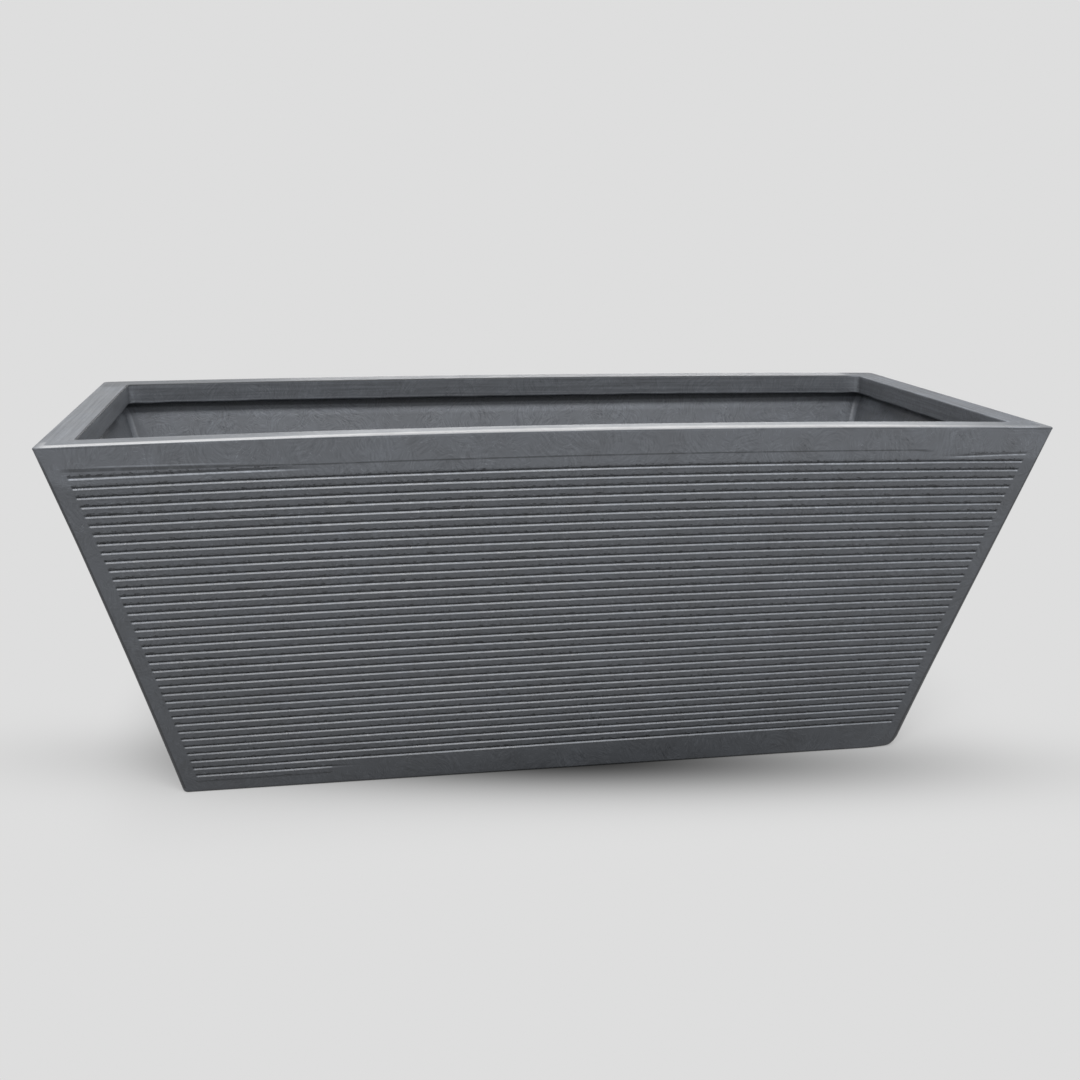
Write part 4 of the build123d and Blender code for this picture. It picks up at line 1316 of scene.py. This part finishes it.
def corner_webs(s):
    """Four small upright webs that tie the lip to the wall under the rim's corners."""
    work = bmesh.new()
    reach = Vector((s.top_length / 2, s.top_depth / 2, 0.0))
    centre = reach - (WEB_INNER + WEB_OUTER) / 2
    height = s.lip_height - WEB_DROP - 1.0 * MM
    size = ((WEB_INNER - WEB_OUTER).length, WEB_THICKNESS, height)
    for side_x in (-1, 1):
        for side_y in (-1, 1):
            made = bmesh.ops.create_cube(work, size=1.0)["verts"]
            bmesh.ops.scale(work, vec=size, verts=made)
            turn = Matrix.Rotation(side_x * side_y * math.pi / 4, 3, "Z")
            bmesh.ops.rotate(work, cent=(0, 0, 0), matrix=turn, verts=made)
            place = (side_x * centre.x, side_y * centre.y, s.height - WEB_DROP - height / 2)
            bmesh.ops.translate(work, vec=place, verts=made)
    return from_work("corner_webs", work)


def combine_with(piece, tool, operation):
    """Joins or cuts with a manifold boolean."""
    modifier = piece.modifiers.new(operation.lower(), "BOOLEAN")
    modifier.operation = operation
    modifier.object = tool
    modifier.solver = "MANIFOLD"
    tool.hide_render = True


class PLANTER_OT_make_shell(bpy.types.Operator):
    """Build the ribbed shell with its turned-in rim"""

    bl_idname = "planter.make_shell"
    bl_label = "Ribbed shell"

    def execute(self, context):
        s = context.scene.planter_shell
        finish = charcoal_shell_finish(s)
        blank = shell_blank(s)
        values = {
            "Pitch": s.rib_pitch,
            "Crease width": s.rib_width,
            "Crease depth": s.rib_depth,
            "Top band": s.rib_top,
            "Count": float(s.rib_count),
            "End margin": s.rib_margin,
            "Low crease end": s.low_end,
            "Front crown": s.crown_front,
            "Back crown": s.crown_back,
            "Waist": s.waist,
            "Height": s.height,
            "Half length": s.top_length / 2,
            "Half depth": s.top_depth / 2,
            "Wander": 0.5 * MM,
            "Sag depth": 2.44 * MM,
            "Sag height": 0.62,
            "Sag spread": 10.0 * MM,
            "Tilt": 3.0 * MM,
            "Right drop": 2.9 * MM,
            "Lip wave": 2.4 * MM,
            "Right flare": 3.4 * MM,
            "Foot tuck": 3.0 * MM,
        }
        add_tree(blank, ribbing_tree(list(values)), {**values, "Material": finish})
        outward, seats = fitting_seats()
        tools = [(corner_webs(s), "UNION")]
        for seat in seats:
            pad = cylinder_tool("pad", seat, outward, PAD_RADIUS, -2.6 * MM, 0.12 * MM, 96)
            tools.append((pad, "UNION"))
        for seat in seats:
            bore = cylinder_tool("bore", seat, outward, BORE_RADIUS, -12.0 * MM, 3.0 * MM)
            tools.append((bore, "DIFFERENCE"))
        for tool, operation in tools:
            combine_with(blank, tool, operation)
        shell = baked(blank, "ribbed_shell_work")
        for tool, _ in tools:
            bpy.data.objects.remove(tool)
        shell = shaded(shell, "ribbed_shell", 27.0)
        one_material(shell.data, finish)
        stands_for(shell, "planter_shell")
        return {"FINISHED"}


# ------------------------------------------------------------------ stage


# the camera's place and axes, and the width of its sensor in millimetres
CAMERA_PLACE = (-0.2072, -1.1593, 0.4876)
CAMERA_RIGHT = (0.9843, -0.17618, 0.0109)
CAMERA_AHEAD = (0.17326, 0.95251, -0.25043)
SENSOR_WIDTH = 36.0
FLOOR_REACH = 12.0

# the planter's half foot on the floor, and the pool of shade in front of it
HALF_FOOT = (0.32, 0.11, 0.0)
POOL_PLACE = (0.0, -0.092, 0.0)
POOL_TURN = math.radians(-10.15)
POOL_SIZE = (0.31, 0.064, 1.0)

# by lamp: its place, what it points at, its two sizes and its power
SOFTBOXES = {
    "front_softbox": ((-0.1, -2.1, 2.6), (0.0, 0.0, 0.2), (1.9, 1.0), 80.0),
    "overhead_softbox": ((0.2, 0.3, 2.8), (0.0, 0.0, 0.2), (2.0, 1.4), 24.0),
    "rear_softbox": ((0.8, 3.0, 1.0), (0.05, 0.0, 0.3), (2.2, 0.6), 11.0),
}


def softbox(name, place, aim, size, power):
    """A rectangular lamp that lights the planter and stays out of the picture."""
    data = bpy.data.lights.new(name, "AREA")
    data.shape = "RECTANGLE"
    data.size, data.size_y = size
    data.energy = power
    lamp = linked(name, data)
    lamp.location = place
    lamp.rotation_euler = (Vector(aim) - Vector(place)).to_track_quat("-Z", "Y").to_euler()
    lamp.visible_camera = False


def camera_ray_share(maker):
    """One where a ray comes straight, by a mirror or through glass from the eye."""
    path = maker.add("ShaderNodeLightPath").outputs
    kinds = ("Is Camera Ray", "Is Glossy Ray", "Is Transmission Ray")
    camera, glossy, through = (Value(maker, path[kind]) for kind in kinds)
    return maker.math("MAXIMUM", maker.math("MAXIMUM", camera, glossy), through)


def studio_world(s):
    """Even white light on the planter, and the backdrop's colour behind it."""
    world = bpy.data.worlds.new("studio")
    maker = NodeMaker(cleared(world))
    white = {"Color": (1.0, 1.0, 1.0, 1.0), "Strength": s.sky_strength}
    light = maker.read("ShaderNodeBackground", white)
    shown = maker.read("ShaderNodeBackground", {"Color": colour(s.backdrop_colour), "Strength": 1.0})
    chosen = maker.read("ShaderNodeMixShader", {0: camera_ray_share(maker), 1: light, 2: shown})
    maker.add("ShaderNodeOutputWorld", {0: chosen})
    return world


def pale_floor_finish(s):
    """Matt floor that turns into the backdrop's glow around the planter, with a soft pool of shade."""
    material = bpy.data.materials.new("pale_floor")
    maker = NodeMaker(cleared(material))
    place = maker.read("ShaderNodeTexCoord", output="Object")
    seen = camera_ray_share(maker)

    # how far a point lies from the planter's foot, counted double beyond its left end
    beside = maker.vector("SUBTRACT", maker.vector("ABSOLUTE", place), HALF_FOOT)
    beside = maker.vector("MAXIMUM", beside, (0.0, 0.0, 0.0))
    stretch = maker.combine(place.split()[0].ramp(-0.2, -0.32, 1.0, 2.0), 1.0, 1.0)
    distance = maker.vector("LENGTH", maker.vector("MULTIPLY", beside, stretch))
    fade = distance.ramp(0.0, 0.2, 0.62, 1.0) * seen

    # the pool of shade: an ellipse a little in front of the foot, turned to follow it
    ellipse = {"Location": POOL_PLACE, "Rotation": (0.0, 0.0, POOL_TURN), "Scale": POOL_SIZE}
    pool = maker.read("ShaderNodeMapping", {"Vector": place, **ellipse}, vector_type="TEXTURE")
    shadow = maker.math("EXPONENT", maker.vector("DOT_PRODUCT", pool, pool) * -1.0)
    lit = shadow * -s.shadow_strength + 1.0

    bounce = colour([channel * s.floor_bounce for channel in s.floor_colour])
    shown = maker.mix_colour(seen, bounce, colour(s.floor_colour))
    paper = maker.read("ShaderNodeBsdfDiffuse", {"Color": maker.scale(shown, lit)})
    glow = maker.read("ShaderNodeEmission", {"Color": colour(s.backdrop_colour), "Strength": lit})
    mixed = maker.read("ShaderNodeMixShader", {0: fade, 1: paper, 2: glow})
    maker.add("ShaderNodeOutputMaterial", {0: mixed})
    return material


class PLANTER_OT_make_stage(bpy.types.Operator):
    """Set the pale floor, the lights and the camera"""

    bl_idname = "planter.make_stage"
    bl_label = "Stage"

    def execute(self, context):
        s = context.scene.planter_stage
        scene = context.scene
        scene.view_settings.view_transform = "Standard"
        scene.world = studio_world(s)

        corners = ((-1, -1, 0), (1, -1, 0), (1, 1, 0), (-1, 1, 0))
        reached = [[FLOOR_REACH * part for part in corner] for corner in corners]
        floor = mesh_object("pale_floor", reached, [(0, 1, 2, 3)])
        floor.data.materials.append(pale_floor_finish(s))

        for name, values in SOFTBOXES.items():
            softbox(name, *values)

        data = bpy.data.cameras.new("camera")
        data.lens = s.lens
        data.sensor_width = SENSOR_WIDTH
        scene.camera = linked("camera", data)
        ahead = Vector(CAMERA_AHEAD).normalized()
        up = Vector(CAMERA_RIGHT).cross(ahead).normalized()
        turn = Matrix((ahead.cross(up).normalized(), up, -ahead)).transposed().to_4x4()
        scene.camera.matrix_world = Matrix.Translation(CAMERA_PLACE) @ turn
        return {"FINISHED"}


# ------------------------------------------------------------------ panel and registration


class PLANTER_PT_panel(bpy.types.Panel):
    """Lists the planter's pieces"""

    bl_idname = "PLANTER_PT_panel"
    bl_label = "Planter"
    bl_space_type = "VIEW_3D"
    bl_region_type = "UI"
    bl_category = "Planter"

    def draw(self, context):
        for operator in OPERATORS:
            self.layout.operator(operator.bl_idname)


OPERATORS = (
    PLANTER_OT_make_shell,
    PLANTER_OT_make_platform,
    PLANTER_OT_make_tubes,
    PLANTER_OT_make_cups,
    PLANTER_OT_make_lid,
    PLANTER_OT_make_gauge,
    PLANTER_OT_make_overflow,
    PLANTER_OT_make_drain,
    PLANTER_OT_make_stage,
)
SETTINGS = {
    "planter_shell": PlanterShellSettings,
    "planter_insert": PlanterInsertSettings,
    "planter_stage": PlanterStageSettings,
}


def register():
    """Registers the settings, the operators and the panel."""
    for name, group in SETTINGS.items():
        bpy.utils.register_class(group)
        setattr(bpy.types.Scene, name, bpy.props.PointerProperty(type=group))
    for made in (*OPERATORS, PLANTER_PT_panel):
        bpy.utils.register_class(made)


def unregister():
    """Takes away what register added."""
    for made in (PLANTER_PT_panel, *reversed(OPERATORS)):
        bpy.utils.unregister_class(made)
    for name, group in reversed(SETTINGS.items()):
        delattr(bpy.types.Scene, name)
        bpy.utils.unregister_class(group)


def main():
    """Builds every piece and the stage."""
    register()
    bpy.ops.planter.make_shell()
    bpy.ops.planter.make_platform()
    bpy.ops.planter.make_tubes()
    bpy.ops.planter.make_cups()
    bpy.ops.planter.make_lid()
    bpy.ops.planter.make_gauge()
    bpy.ops.planter.make_overflow()
    bpy.ops.planter.make_drain()
    bpy.ops.planter.make_stage()


if __name__ == "__main__":
    main()
